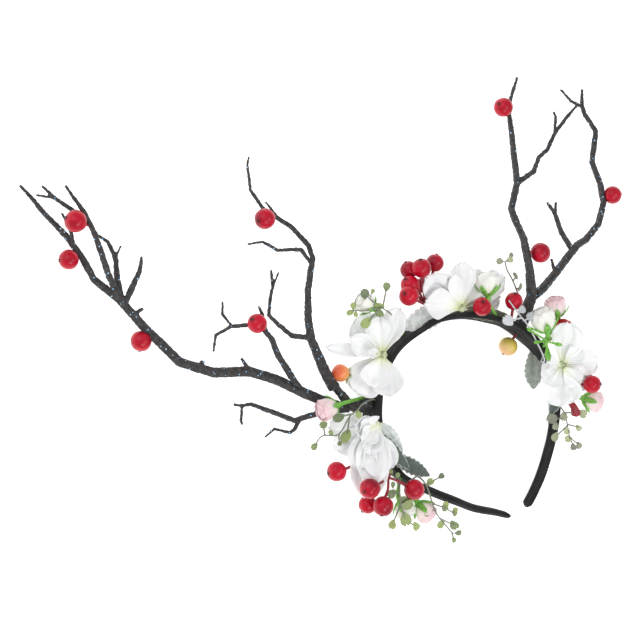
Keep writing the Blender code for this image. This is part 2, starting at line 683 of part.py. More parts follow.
def petal_body(heart, tip, width, cup):
    reach = tip - heart
    length = reach.length
    along_axis = reach.normalized()
    across = along_axis.cross(TO_VIEWER).normalized()
    facing = across.cross(along_axis)
    rows = []
    for i in range(PETAL_ROWS + 1):
        u = i / PETAL_ROWS
        half = width / 2 * petal_half_width(u)
        lift = -length * PETAL_BOW * math.sin(math.pi * u)
        row = []
        for j in range(PETAL_COLUMNS + 1):
            v = 2 * j / PETAL_COLUMNS - 1
            rise = lift + cup * half * v * v
            trim = PETAL_TRIM * length * v * v * u ** 3
            row.append(heart + along_axis * (length * u - trim) + across * half * v + facing * rise)
        rows.append(row)
    bm = bmesh.new()
    step = facing * PETAL_THICKNESS / 2
    upper = [[bm.verts.new(point + step) for point in row] for row in rows]
    lower = [[bm.verts.new(point - step) for point in row] for row in rows]
    skin(bm, upper, lower)
    return bm


def skin(bm, upper, lower):
    """Faces of a sheet between two equal grids of vertices."""
    rows, columns = len(upper) - 1, len(upper[0]) - 1
    for i in range(rows):
        for j in range(columns):
            bm.faces.new((upper[i][j], upper[i + 1][j], upper[i + 1][j + 1], upper[i][j + 1]))
            bm.faces.new((lower[i][j], lower[i][j + 1], lower[i + 1][j + 1], lower[i + 1][j]))
        bm.faces.new((upper[i][0], lower[i][0], lower[i + 1][0], upper[i + 1][0]))
        bm.faces.new((upper[i][-1], upper[i + 1][-1], lower[i + 1][-1], lower[i][-1]))
    for j in range(columns):
        bm.faces.new((upper[0][j], upper[0][j + 1], lower[0][j + 1], lower[0][j]))
        bm.faces.new((upper[-1][j], lower[-1][j], lower[-1][j + 1], upper[-1][j + 1]))


def make_flowers():
    for name, flower in FLOWERS.items():
        heart = seen_at(*flower["heart"])
        root = on_band(*flower["root"])
        away = (heart - root).normalized()
        below, above = heart - away * CUP_REACH, heart + away * CUP_REACH
        bodies = [tube([(root, CUP_ROOT), (below, CUP_BELLY), (above, CUP_RIM)], CALYX_SIDES)]
        for petal in flower["petals"]:
            tip = seen_at(petal.right, petal.up, petal.height)
            claw = heart + (tip - heart).normalized() * CLAW_OFFSET
            bodies.append(petal_body(claw, tip, petal.width, petal.cup))
        seat(fuse(name, bodies, "petal", KEEP_SHEET))


# Serrated cloth leaves

Leaf = namedtuple(
    "Leaf", "name root_right root_up root_height tip_right tip_up tip_height width teeth belly")

LEAVES = [
    Leaf("leaf_left_inner", -50, -5, 24, -36, -23.5, 24, 9, 4, 0.8),
    Leaf("leaf_left_lower_a", -54, -11, 27, -31.5, -35.5, 27, 10, 5, 0.8),
    Leaf("leaf_left_lower_b", -51, -22, 21, -18.5, -39.5, 20, 10.5, 4, 1.4),
    Leaf("leaf_top_left", -9, 67, 19, -37, 55.5, 19, 15, 4, 0.8),
    Leaf("leaf_top", 33, 64, 22, 0, 67, 22, 8, 4, 0.8),
    Leaf("leaf_right_inner", 49, 48, 2.5, 49, 17, 2.5, 12.5, 5, 1.5),
    Leaf("leaf_right_lower", 66, 14, 18, 60, 0, 18, 8, 3, 0.8),
]

LEAF_POINT = 0.12
LEAF_TOOTH = 1.1
LEAF_FOLD = 0.18


def leaf_body(root, tip, width, teeth, belly):
    """A serrated sheet, folded up a little at its midrib; a larger belly lies nearer the tip."""
    reach = tip - root
    length = reach.length
    along_axis = reach.normalized()
    across = along_axis.cross(TO_VIEWER).normalized()
    facing = across.cross(along_axis)
    rows = []
    steps = teeth * 2
    for i in range(steps + 1):
        u = i / steps
        half = width / 2 * max(math.sin(math.pi * u ** belly) ** 0.75, LEAF_POINT)
        if i % 2 and i < steps:
            half *= LEAF_TOOTH
        spine = root + along_axis * length * u
        row = [spine + across * half * v + facing * LEAF_FOLD * half * abs(v) for v in (-1, 0, 1)]
        rows.append(row)
    bm = bmesh.new()
    step = facing * LEAF_THICKNESS / 2
    upper = [[bm.verts.new(point + step) for point in row] for row in rows]
    lower = [[bm.verts.new(point - step) for point in row] for row in rows]
    skin(bm, upper, lower)
    return bm


def make_leaves():
    for leaf in LEAVES:
        root = seen_at(leaf.root_right, leaf.root_up, leaf.root_height)
        tip = seen_at(leaf.tip_right, leaf.tip_up, leaf.tip_height)
        body = leaf_body(root, tip, leaf.width, leaf.teeth, leaf.belly)
        seat(fuse(leaf.name, [body], "leaf", KEEP_ALL))


# Sprigs: thin wires with small flat leaflets

Blade = namedtuple("Blade", "right up height length")

SPRIGS = {
    "sprig_top_left": {
        "slot": "sprig",
        "wires": [
            [(-40, 60, 16), (-44, 66, 28), (-50, 70, 33), (-59.5, 77, 33)],
            [(-49, 69.5, 33), (-46.6, 82, 33)],
            [(-50, 70, 33), (-58.5, 61, 33)],
            [(-49, 69.7, 33), (-60, 68, 33), (-68, 68, 33)],
        ],
        "blades": [
            Blade(-60.5, 78.5, 33, 7), Blade(-46.4, 83.5, 33, 5.5), Blade(-51, 71, 33.6, 7.5),
            Blade(-51, 66.5, 32.6, 6), Blade(-60, 60, 33, 8), Blade(-68, 71, 33, 4.5),
            Blade(-70, 66.5, 33, 5),
        ],
    },
    "sprig_left": {
        "slot": "sprig",
        "wires": [
            [(-56, 10, 20), (-62, 7, 30), (-65.5, 3, 33), (-70.5, -1, 34), (-77.5, -12.5, 34),
             (-88, -13.5, 33), (-93, -19.5, 32)],
            [(-70.5, -1, 34), (-72, -12, 34)],
            [(-77.5, -12.5, 34), (-77, -18.5, 34)],
            [(-86.5, -13.4, 33), (-87.5, -7, 33)],
            [(-67.5, 1, 33.5), (-76, -1, 34)],
        ],
        "blades": [
            Blade(-64.5, 0.5, 33, 5), Blade(-77.5, -2, 34, 7.5), Blade(-72.5, -14, 34.6, 9),
            Blade(-87.5, -6.5, 33, 5.5), Blade(-82.5, -11.5, 34, 4), Blade(-93.5, -20.5, 32, 5),
        ],
    },
    "sprig_top_right": {
        "slot": "sprig",
        "wires": [
            [(38, 62, 14), (41, 72, 16), (38.5, 80, 20), (35.5, 87.5, 26), (32, 94, 30), (30.5, 99.5, 32)],
            [(35.6, 87, 26), (37.3, 89.5, 30)],
            [(38, 81.5, 21), (40, 83, 26)],
        ],
        "blades": [
            Blade(27, 100, 32, 5), Blade(33.8, 101, 32, 5), Blade(37.6, 90.5, 31, 6), Blade(40.5, 83, 27, 6.5),
        ],
    },
    "sprig_right_front": {
        "slot": "sprig",
        "wires": [
            [(54, 35, 24), (56, 37, 30), (46.5, 56.5, 31), (40, 65, 31.5), (33, 74.5, 32)],
            [(41.5, 63.2, 30.8), (33.5, 61.5, 30.6)],
            [(43, 61.3, 30.5), (46.8, 63.4, 30.7)],
        ],
        "blades": [Blade(32.5, 61.5, 30.6, 8), Blade(41.5, 68.5, 31, 6), Blade(47, 63.8, 31, 6)],
    },
    "sprig_right": {
        "slot": "sprig",
        "wires": [
            [(64, 8, 14), (69, 2, 20), (71, -6, 20), (72.5, -14, 18), (75, -20, 16)],
            [(70, -2, 20), (62, -2.5, 21)],
            [(71, -7, 20), (63.5, -14, 18)],
            [(71, -6, 20), (78.5, -8, 18)],
            [(69, 1.5, 20), (80, 1.5, 18)],
            [(73, -15, 17.7), (78.3, -19, 16)],
        ],
        "blades": [
            Blade(61, -2.4, 21, 8), Blade(63.4, -7.3, 20, 5), Blade(68.7, -1, 20.4, 6), Blade(63.2, -14.3, 18, 6),
            Blade(70.7, -10.7, 19, 5), Blade(78.4, -8.5, 18, 5), Blade(71.6, -15.6, 17.5, 5.5),
            Blade(78.6, -19.8, 16, 5), Blade(75, -20.8, 16, 5), Blade(81, 0.9, 18, 7),
        ],
    },
    "sprig_bottom_left": {
        "slot": "sprig",
        "wires": [
            [(-38, -40, 12), (-38, -47, 24), (-37.5, -54, 24), (-34.5, -67, 21), (-28, -72, 19)],
            [(-37, -57, 23.4), (-42.3, -70.5, 20)],
            [(-37.8, -50, 24), (-43, -51, 24)],
        ],
        "blades": [
            Blade(-42.6, -71.3, 20, 6), Blade(-34, -68, 21, 8.5), Blade(-27.3, -72.4, 19, 6),
            Blade(-33, -58, 23.4, 8.5), Blade(-43.2, -51.2, 24, 6.5),
        ],
    },
    "sprig_bottom_right": {
        "slot": "sprig",
        "wires": [
            [(-26, -40, 14), (-20.5, -46, 22), (-17, -56, 21), (-13, -65.5, 18), (-3.4, -77, 12)],
            [(-16.5, -57.5, 20.7), (-8.5, -60.5, 18), (-2.5, -64, 16)],
            [(-12, -67, 17.5), (-3, -71.5, 16)],
            [(-20.8, -45.5, 22), (-11, -39.8, 22)],
            [(-4, -76.3, 12.4), (-2.7, -81, 11)],
        ],
        "blades": [
            Blade(-2.4, -71.6, 16, 7), Blade(-11.3, -71, 16.2, 6), Blade(0.3, -76.5, 12.5, 4.5),
            Blade(-2.7, -81.3, 11, 4), Blade(-2.2, -63.8, 16, 4.5), Blade(-8.5, -60.5, 18, 5),
            Blade(-10.8, -39.6, 22, 4.5), Blade(-18, -43.5, 22, 5.5),
        ],
    },
    "green_bud_spray": {
        "slot": "bright_green",
        "wires": [
            [(57, 42, 14), (57.5, 48, 31), (54, 50.5, 32), (47, 55, 32)],
            [(57, 48, 31), (52, 47.5, 32)],
            [(57, 48, 31), (64.5, 46, 32)],
            [(57.2, 48.3, 31), (58.5, 40, 32)],
        ],
        "blades": [Blade(46.5, 55.3, 32, 5), Blade(51.3, 47.4, 32, 5), Blade(65, 46, 32, 5.5),
                   Blade(58.6, 39.5, 32, 9)],
    },
}

WIRE_RADIUS = 0.55
BLADE_THICKNESS = 0.8
BLADE_POINTS = 5
BLADE_NARROWING = 0.72


def blade_body(centre, heading, length):
    """A small flat oval that points along its wire's end."""
    across = heading.cross(TO_VIEWER).normalized()
    facing = across.cross(heading)
    bm = bmesh.new()
    angles = [2 * math.pi * k / BLADE_POINTS for k in range(BLADE_POINTS)]
    outline = [centre + heading * math.cos(a) * length / 2
               + across * math.sin(a) * length / 2 * BLADE_NARROWING for a in angles]
    step = facing * BLADE_THICKNESS / 2
    loft(bm, [[point - step for point in outline], [point + step for point in outline]])
    return bm


def make_sprigs():
    for name, sprig in SPRIGS.items():
        hub = seen_at(*sprig["wires"][0][1])
        bodies = []
        for wire in sprig["wires"]:
            stops = [seen_at(*stop) for stop in wire]
            if wire is sprig["wires"][0]:
                stops.insert(0, on_band(*wire[0]))
            bodies.append(tube([(stop, WIRE_RADIUS) for stop in stops], STEM_SIDES))
        for blade in sprig["blades"]:
            centre = seen_at(blade.right, blade.up, blade.height)
            bodies.append(blade_body(centre, (centre - hub).normalized(), blade.length))
        seat(fuse(name, bodies, sprig["slot"], KEEP_SHEET))


placed.append(make_headband())
make_antlers()
make_berries()
make_sprays()
make_buds()
make_flowers()
make_leaves()
make_sprigs()

for piece in placed:
    piece.data.shade_smooth()
    piece.data.set_sharp_from_angle(angle=math.radians(SHARP_ANGLE))
print("pieces", len(placed), "triangles", sum(len(piece.data.polygons) for piece in placed))
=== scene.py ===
import bpy
import bmesh
import math
import random
from mathutils import Matrix, Vector, noise


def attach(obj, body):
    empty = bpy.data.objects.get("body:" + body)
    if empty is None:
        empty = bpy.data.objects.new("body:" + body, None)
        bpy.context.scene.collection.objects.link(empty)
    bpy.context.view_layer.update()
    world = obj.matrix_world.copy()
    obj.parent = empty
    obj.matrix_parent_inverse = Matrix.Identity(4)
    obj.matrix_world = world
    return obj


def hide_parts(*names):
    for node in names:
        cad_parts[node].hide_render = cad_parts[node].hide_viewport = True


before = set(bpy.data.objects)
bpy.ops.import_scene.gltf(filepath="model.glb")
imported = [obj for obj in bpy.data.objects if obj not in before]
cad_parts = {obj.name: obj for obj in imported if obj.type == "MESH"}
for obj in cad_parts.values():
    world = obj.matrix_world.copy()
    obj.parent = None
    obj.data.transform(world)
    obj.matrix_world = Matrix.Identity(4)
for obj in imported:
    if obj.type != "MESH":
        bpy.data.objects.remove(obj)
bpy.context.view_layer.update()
mm = 0.001

# The photograph's line of sight, in metres and degrees
sight = {"tilt": 25.0, "turn": 29.4, "eye": 1.6, "axisRight": -0.0897, "axisUp": 0.06175,
         "lens": 138.5, "clipEnd": 20, "crownRadius": 0.0664}
tilt = math.radians(sight["tilt"])
turn = math.radians(sight["turn"])
sightRight = Vector((math.cos(turn) * math.cos(tilt), -math.sin(turn) * math.cos(tilt), math.sin(tilt)))
sightUp = Vector((math.sin(turn), math.cos(turn), 0.0))
toViewer = sightRight.cross(sightUp)
ringCentre = Vector((0.0, -sight["crownRadius"], 0.0))
eye = ringCentre + sightRight * sight["axisRight"] + sightUp * sight["axisUp"] + toViewer * sight["eye"]


def seenAt(right, up, height):
    # the point where a sight line, read in millimetres from the ring's centre, reaches a height
    reading = ringCentre + (sightRight * right + sightUp * up) * mm
    ray = reading - eye
    return eye + ray * ((height * mm - eye.z) / ray.z)


def inMetres(sizes):
    return [size * mm for size in sizes]


def smooth(low, high, value):
    share = min(max((value - low) / (high - low), 0.0), 1.0)
    return share * share * (3 - 2 * share)


def newObject(name, data):
    made = bpy.data.objects.new(name, data)
    bpy.context.scene.collection.objects.link(made)
    return made


# Camera

def makeCamera():
    data = bpy.data.cameras.new("camera")
    data.lens = sight["lens"]
    data.clip_end = sight["clipEnd"]
    camera = newObject("camera", data)
    turned = Matrix((sightRight, sightUp, toViewer)).transposed().to_4x4()
    camera.matrix_world = Matrix.Translation(eye) @ turned
    bpy.context.scene.camera = camera


makeCamera()
print("camera placed")


# Materials

def setInputs(node, inputs):
    # an underscore stands for a space in an input's name
    for key, value in inputs.items():
        node.inputs[key.replace("_", " ")].default_value = value
    return node


def addNode(nodes, kind, **inputs):
    return setInputs(nodes.new(kind), inputs)


def newMaterial(name, **inputs):
    mat = bpy.data.materials.new(name)
    mat.use_nodes = True
    nodes, links = mat.node_tree.nodes, mat.node_tree.links
    return mat, nodes, links, setInputs(nodes["Principled BSDF"], inputs)


def colourRamp(nodes, links, factor, stops):
    ramp = nodes.new("ShaderNodeValToRGB")
    elements = ramp.color_ramp.elements
    while len(elements) < len(stops):
        elements.new(0.5)
    for element, (position, colour) in zip(elements, stops):
        element.position = position
        element.color = (*colour, 1)
    links.new(factor, ramp.inputs["Fac"])
    return ramp.outputs["Color"]


def uvPlace(nodes, uvName):
    uv = nodes.new("ShaderNodeUVMap")
    uv.uv_map = uvName
    return uv.outputs["UV"]


def cloudNoise(nodes, links, scale, detail=4.0, stretch=(1, 1, 1), uvName=None):
    # clouds in the object's own space, or on a UV map where one is named
    place = uvPlace(nodes, uvName) if uvName else nodes.new("ShaderNodeTexCoord").outputs["Object"]
    mapping = addNode(nodes, "ShaderNodeMapping", Scale=stretch)
    grain = addNode(nodes, "ShaderNodeTexNoise", Scale=scale, Detail=detail)
    links.new(place, mapping.inputs["Vector"])
    links.new(mapping.outputs["Vector"], grain.inputs["Vector"])
    return grain.outputs["Fac"]


def attributeValue(nodes, name, output="Fac"):
    read = nodes.new("ShaderNodeAttribute")
    read.attribute_name = name
    return read.outputs[output]


def scaledSum(nodes, links, value, share, base):
    # value times share, plus base
    total = nodes.new("ShaderNodeMath")
    total.operation = "MULTIPLY_ADD"
    total.inputs[1].default_value = share
    links.new(value, total.inputs[0])
    links.new(base, total.inputs[2])
    return total.outputs[0]


def mixColours(nodes, links, factor, first, second, mode="MIX"):
    mix = nodes.new("ShaderNodeMix")
    mix.data_type = "RGBA"
    mix.blend_type = mode
    if isinstance(factor, float):
        mix.inputs["Factor"].default_value = factor
    else:
        links.new(factor, mix.inputs["Factor"])
    for socket, value in ((mix.inputs[6], first), (mix.inputs[7], second)):
        if isinstance(value, tuple):
            socket.default_value = (*value, 1)
        else:
            links.new(value, socket)
    return mix.outputs[2]


def shaded(nodes, links, *layers):
    # colours multiplied one after another
    colour = layers[0]
    for layer in layers[1:]:
        colour = mixColours(nodes, links, 1.0, colour, layer, "MULTIPLY")
    return colour


def addBump(nodes, links, shader, height, strength, distance):
    bump = addNode(nodes, "ShaderNodeBump", Strength=strength, Distance=distance)
    links.new(height, bump.inputs["Height"])
    links.new(bump.outputs["Normal"], shader.inputs["Normal"])


def ribbonMaterial():
    mat, nodes, links, shader = newMaterial(
        "blackRibbon", Roughness=0.78, Sheen_Weight=0.05, Sheen_Roughness=0.45, Specular_IOR_Level=0.3)
    weave = addNode(nodes, "ShaderNodeTexWave", Scale=160.0, Distortion=1.5)
    links.new(uvPlace(nodes, "ribbonUV"), weave.inputs["Vector"])
    worn = cloudNoise(nodes, links, 90.0)
    tone = colourRamp(nodes, links, worn, [(0.35, (0.01, 0.01, 0.0105)), (0.75, (0.026, 0.026, 0.027))])
    # paler lines that run along the winding
    lanes = cloudNoise(nodes, links, 1.0, 3.0, (0.8, 60.0, 1), "ribbonUV")
    lines = colourRamp(nodes, links, lanes, [(0.5, (0.7, 0.7, 0.7)), (0.72, (2.2, 2.2, 2.2))])
    links.new(shaded(nodes, links, tone, lines), shader.inputs["Base Color"])
    addBump(nodes, links, shader, weave.outputs["Fac"], 0.35, 0.0002)
    return mat


def barkMaterial():
    mat, nodes, links, shader = newMaterial("blackBark", Roughness=0.5, Specular_IOR_Level=0.45)
    coarse = cloudNoise(nodes, links, 420.0, 6.0)
    fine = cloudNoise(nodes, links, 1900.0, 3.0)
    tone = colourRamp(nodes, links, coarse, [
        (0.3, (0.012, 0.012, 0.013)), (0.62, (0.05, 0.046, 0.046)), (0.85, (0.11, 0.1, 0.1))])
    links.new(tone, shader.inputs["Base Color"])
    addBump(nodes, links, shader, scaledSum(nodes, links, fine, 1.0, coarse), 0.8, 0.0004)
    return mat


def cloudMaterial(name, clouds, stops, bump=None, shift=None, **inputs):
    # colours that follow clouds, moved on by an attribute where shift gives one and the clouds' share
    mat, nodes, links, shader = newMaterial(name, **inputs)
    grain = factor = cloudNoise(nodes, links, *clouds)
    if shift:
        attribute, share = shift
        factor = scaledSum(nodes, links, grain, share, attributeValue(nodes, attribute))
    links.new(colourRamp(nodes, links, factor, stops), shader.inputs["Base Color"])
    if bump:
        addBump(nodes, links, shader, grain, *bump)
    return mat


def glitterWithPaintedGlintMaterial():
    # the emission is a painted glint: the flakes glow blue as if they caught the light
    return cloudMaterial(
        "blueGlitter", (300.0, 1.0), [(0.35, (0.2, 0.5, 0.9)), (0.6, (0.55, 0.82, 0.97))],
        Roughness=0.2, Metallic=0.3, Emission_Strength=0.5, Emission_Color=(0.25, 0.55, 0.9, 1))


def fruitMaterial(name, stemColour, bodyColour, endColour):
    # a berry whose colour turns from the stem end to the far end
    return cloudMaterial(
        name, (160.0, 4.0), [(0.2, stemColour), (0.62, bodyColour), (11 / 12, endColour)], (0.15, 0.0003),
        ("along", 0.35), Roughness=0.38, Coat_Weight=0.15, Coat_Roughness=0.3)


def sprigMaterial(name, dark, light, alpha=1.0):
    return cloudMaterial(
        name, (500.0, 3.0), [(0.2, dark), (1.0, light)], (0.3, 0.0002), ("shade", 0.45),
        Roughness=0.55, Alpha=alpha, Subsurface_Weight=0.1, Subsurface_Radius=(0.001, 0.0015, 0.0008))


def stemMaterial(name, dark, light, roughness):
    return cloudMaterial(
        name, (700.0, 3.0), [(0.3, dark), (0.75, light)], (0.3, 0.0002), Roughness=roughness)


def berryMaterial(name, dark, light, palestTone):
    # glow is the palest colour, laid where the clouds run highest
    mat, nodes, links, shader = newMaterial(
        name, Roughness=0.32, Coat_Weight=0.12, Coat_Roughness=0.22, Specular_IOR_Level=0.25,
        Subsurface_Weight=0.05, Subsurface_Radius=(0.003, 0.001, 0.0008))
    clouds = cloudNoise(nodes, links, 130.0, 3.0)
    specks = cloudNoise(nodes, links, 2200.0, 2.0)
    blotches = cloudNoise(nodes, links, 38.0, 2.0)
    along = attributeValue(nodes, "along")
    tone = colourRamp(nodes, links, clouds, [(0.3, dark), (0.55, light), (0.85, palestTone)])
    spot = colourRamp(nodes, links, specks, [(0.68, (1, 1, 1)), (0.76, (0.45, 0.4, 0.4))])
    darkerBlotches = colourRamp(nodes, links, blotches, [(0.52, (1, 1, 1)), (0.68, (0.6, 0.7, 0.85))])
    ends = colourRamp(nodes, links, along, [
        (0.0, (0.55, 0.5, 0.5)), (0.25, (1, 1, 1)), (0.85, (1, 1, 1)), (1.0, (0.5, 0.45, 0.45))])
    links.new(shaded(nodes, links, tone, spot, darkerBlotches, ends), shader.inputs["Base Color"])
    addBump(nodes, links, shader, specks, 0.12, 0.0001)
    return mat


def petalMaterial(name, throat, blade, rim):
    mat, nodes, links, shader = newMaterial(
        name, Roughness=0.62, Sheen_Weight=0.25, Subsurface_Weight=0.25,
        Subsurface_Radius=(0.0025, 0.0025, 0.0022))
    clouds = cloudNoise(nodes, links, 70.0, 3.0)
    shift = scaledSum(nodes, links, clouds, 0.12, attributeValue(nodes, "along"))
    middle = tuple((a + 2 * b) / 3 for a, b in zip(throat, blade))
    tone = colourRamp(nodes, links, shift, [(0.05, throat), (0.2, middle), (0.42, blade), (1.0, rim)])
    links.new(tone, shader.inputs["Base Color"])
    weave = cloudNoise(nodes, links, 1500.0, 2.0)
    veins = cloudNoise(nodes, links, 6.0, 4.0, (0.35, 3.2, 1), "petalUV")
    addBump(nodes, links, shader, scaledSum(nodes, links, weave, 0.12, veins), 0.55, 0.0009)
    return mat


def leafMaterial(name, blade, vein, edge):
    mat, nodes, links, shader = newMaterial(name, Roughness=0.66, Sheen_Weight=0.3)
    stripes = addNode(nodes, "ShaderNodeTexWave", Scale=2.4, Distortion=0.6)
    stripes.bands_direction = "X"
    links.new(attributeValue(nodes, "slant", "Vector"), stripes.inputs["Vector"])
    lines = colourRamp(nodes, links, stripes.outputs["Fac"], [(0.86, (0, 0, 0)), (0.98, (1, 1, 1))])
    darker, lighter = tuple(c * 0.75 for c in blade), tuple(c * 1.2 for c in blade)
    tone = colourRamp(nodes, links, cloudNoise(nodes, links, 260.0, 4.0), [(0.3, darker), (0.7, lighter)])
    veined = mixColours(nodes, links, lines, tone, vein)
    rim = colourRamp(nodes, links, attributeValue(nodes, "across"), [(0.82, (0, 0, 0)), (0.97, (1, 1, 1))])
    links.new(mixColours(nodes, links, rim, veined, edge), shader.inputs["Base Color"])
    addBump(nodes, links, shader, lines, 0.5, 0.0004)
    return mat


finishes = {
    "ribbon": ribbonMaterial(),
    "bark": barkMaterial(),
    "glitter": glitterWithPaintedGlintMaterial(),
    "berry": berryMaterial("redBerry", (0.36, 0.001, 0.012), (0.52, 0.0015, 0.022), (0.62, 0.004, 0.032)),
    "berryStem": stemMaterial("redStem", (0.2, 0.01, 0.02), (0.42, 0.02, 0.04), 0.4),
    "blossom": stemMaterial("driedBlossom", (0.03, 0.02, 0.02), (0.1, 0.06, 0.05), 0.8),
    "orange": fruitMaterial("orangeBud", (0.8, 0.6, 0.2), (0.85, 0.3, 0.09), (0.75, 0.12, 0.04)),
    "yellow": fruitMaterial("yellowBerry", (0.75, 0.6, 0.1), (0.72, 0.55, 0.12), (0.8, 0.5, 0.25)),
    "petal": petalMaterial("whitePetal", (0.8, 0.86, 0.5), (0.95, 0.96, 0.965), (0.96, 0.965, 0.98)),
    "rosePink": petalMaterial("pinkRose", (0.88, 0.86, 0.7), (0.94, 0.84, 0.8), (0.93, 0.66, 0.7)),
    "roseWhite": petalMaterial("creamRose", (0.75, 0.8, 0.5), (0.92, 0.93, 0.82), (0.95, 0.95, 0.9)),
    "calyx": stemMaterial("brightCalyx", (0.08, 0.34, 0.02), (0.3, 0.62, 0.12), 0.45),
    "paleGreen": stemMaterial("paleCalyx", (0.4, 0.5, 0.28), (0.7, 0.75, 0.55), 0.5),
    "stamen": stemMaterial("stamen", (0.55, 0.62, 0.2), (0.8, 0.82, 0.5), 0.6),
    "leafDark": leafMaterial("darkLeaf", (0.09, 0.12, 0.1), (0.15, 0.185, 0.16), (0.5, 0.56, 0.53)),
    "leafOlive": leafMaterial("oliveLeaf", (0.06, 0.07, 0.035), (0.12, 0.13, 0.08), (0.2, 0.22, 0.15)),
    "leafSage": leafMaterial("sageLeaf", (0.36, 0.4, 0.36), (0.46, 0.5, 0.46), (0.54, 0.57, 0.54)),
    "leafPale": leafMaterial("paleLeaf", (0.7, 0.75, 0.73), (0.8, 0.84, 0.82), (0.84, 0.87, 0.86)),
    "sprigGreen": sprigMaterial("greenSprig", (0.13, 0.17, 0.11), (0.36, 0.45, 0.16)),
    "sprigGrey": sprigMaterial("greySprig", (0.19, 0.2, 0.17), (0.46, 0.52, 0.3)),
    "sprigFrost": sprigMaterial("frostSprig", (0.5, 0.53, 0.55), (0.8, 0.82, 0.85), 0.85),
    "sprigWire": stemMaterial("sprigWire", (0.13, 0.15, 0.12), (0.3, 0.33, 0.24), 0.6),
    "paleWire": stemMaterial("paleWire", (0.45, 0.47, 0.48), (0.7, 0.72, 0.74), 0.4),
}
print("materials made")


# Shared makers

def closedMesh(name, bm):
    bmesh.ops.recalc_face_normals(bm, faces=bm.faces)
    mesh = bpy.data.meshes.new(name)
    bm.to_mesh(mesh)
    bm.free()
    mesh.shade_smooth()
    return mesh


def plainMesh(holder):
    # what an object's modifiers make of its mesh; the object itself goes
    made = bpy.data.meshes.new_from_object(holder.evaluated_get(bpy.context.evaluated_depsgraph_get()))
    bpy.data.objects.remove(holder)
    return made


def addMesh(name, mesh, finishNames, slot, *nodes):
    mesh.shade_smooth()
    for finish in finishNames:
        mesh.materials.append(finishes[finish])
    piece = newObject(name, mesh)
    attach(piece, "root")
    if nodes:
        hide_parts(*nodes)
    return piece


def addPiece(name, bm, finishNames, slot, *nodes):
    return addMesh(name, closedMesh(name, bm), finishNames, slot, *nodes)


def newSkin():
    bm = bmesh.new()
    bm.verts.layers.float.new("along")
    bm.verts.layers.float.new("across")
    bm.verts.layers.float_vector.new("slant")
    bm.loops.layers.uv.new("petalUV")
    return bm


def aimAt(axis):
    # the turn that carries +Z to an axis
    return Vector((0, 0, 1)).rotation_difference(axis).to_matrix()


def polarPoint(polar, angle, stretch=1.0):
    # a point on a unit ball, stretched along its axis
    return Vector((math.sin(polar) * math.cos(angle), math.sin(polar) * math.sin(angle),
                   math.cos(polar) * stretch))


def sheetAxes(start, end):
    # a sheet's length, and the ways along it, across it and out of it towards the viewer
    reach = end - start
    along = reach.normalized()
    across = along.cross(toViewer).normalized()
    return reach.length, along, across, across.cross(along)


leafVeins = {"pitch": 3, "slant": 0.8}


def addSheet(bm, rows, columns, pointAt, thickness, finish=0):
    # a closed sheet: u runs along it from 0 to 1, and v across it from -1 to 1
    grid = [[pointAt(i / rows, 2 * j / columns - 1) for j in range(columns + 1)] for i in range(rows + 1)]
    along, across = bm.verts.layers.float["along"], bm.verts.layers.float["across"]
    slant = bm.verts.layers.float_vector["slant"]
    uvLayer = bm.loops.layers.uv["petalUV"]
    top, base = [], []
    places = {}
    for i in range(rows + 1):
        top.append([])
        base.append([])
        for j in range(columns + 1):
            ahead = grid[min(i + 1, rows)][j] - grid[max(i - 1, 0)][j]
            beside = grid[i][min(j + 1, columns)] - grid[i][max(j - 1, 0)]
            normal = ahead.cross(beside)
            normal = normal.normalized() if normal.length > 1e-12 else toViewer
            u, v = i / rows, 2 * j / columns - 1
            for side, way in ((top, 0.5), (base, -0.5)):
                vert = bm.verts.new(grid[i][j] + normal * thickness * way)
                vert[along], vert[across] = u, abs(v)
                vert[slant] = (u * leafVeins["pitch"] - abs(v) * leafVeins["slant"], 0, 0)
                places[vert] = (u, v)
                side[-1].append(vert)
    faces = []
    for i in range(rows):
        for j in range(columns):
            faces.append((top[i][j], top[i][j + 1], top[i + 1][j + 1], top[i + 1][j]))
            faces.append((base[i][j], base[i + 1][j], base[i + 1][j + 1], base[i][j + 1]))
        faces.append((top[i][0], top[i + 1][0], base[i + 1][0], base[i][0]))
        faces.append((top[i][-1], base[i][-1], base[i + 1][-1], top[i + 1][-1]))
    for j in range(columns):
        faces.append((top[0][j], base[0][j], base[0][j + 1], top[0][j + 1]))
        faces.append((top[-1][j], top[-1][j + 1], base[-1][j + 1], base[-1][j]))
    for corners in faces:
        face = bm.faces.new(corners)
        face.material_index = finish
        for loop in face.loops:
            loop[uvLayer].uv = places[loop.vert]


def roundPath(stops, steps):
    # a smooth run through given stops
    padded = [stops[0] * 2 - stops[1]] + list(stops) + [stops[-1] * 2 - stops[-2]]
    made = []
    for a, b, c, d in zip(padded, padded[1:], padded[2:], padded[3:]):
        for k in range(steps):
            t = k / steps
            made.append(0.5 * ((2 * b) + (c - a) * t + (2 * a - 5 * b + 4 * c - d) * t * t
                               + (3 * b - a - 3 * c + d) * t ** 3))
    made.append(stops[-1])
    return made


def addRod(bm, path, radii, sides=8, finish=0):
    # a rod along a path, from one radius to the other
    side = None
    rings = []
    for i, place in enumerate(path):
        along = (path[min(i + 1, len(path) - 1)] - path[max(i - 1, 0)]).normalized()
        if side is None:
            side = along.orthogonal().normalized()
        side = (side - along * side.dot(along)).normalized()
        other = along.cross(side)
        radius = radii[0] + (radii[1] - radii[0]) * i / (len(path) - 1)
        ring = []
        for k in range(sides):
            angle = math.tau * k / sides
            ring.append(bm.verts.new(place + (side * math.cos(angle) + other * math.sin(angle)) * radius))
        rings.append(ring)
    for near, far in zip(rings, rings[1:]):
        for k in range(sides):
            face = bm.faces.new((near[k], near[(k + 1) % sides], far[(k + 1) % sides], far[k]))
            face.material_index = finish
    bm.faces.new(list(reversed(rings[0]))).material_index = finish
    bm.faces.new(rings[-1]).material_index = finish


balls = {"segments": 32, "rings": 20, "dimpleSpread": 0.3, "wobbleScale": 1.7}


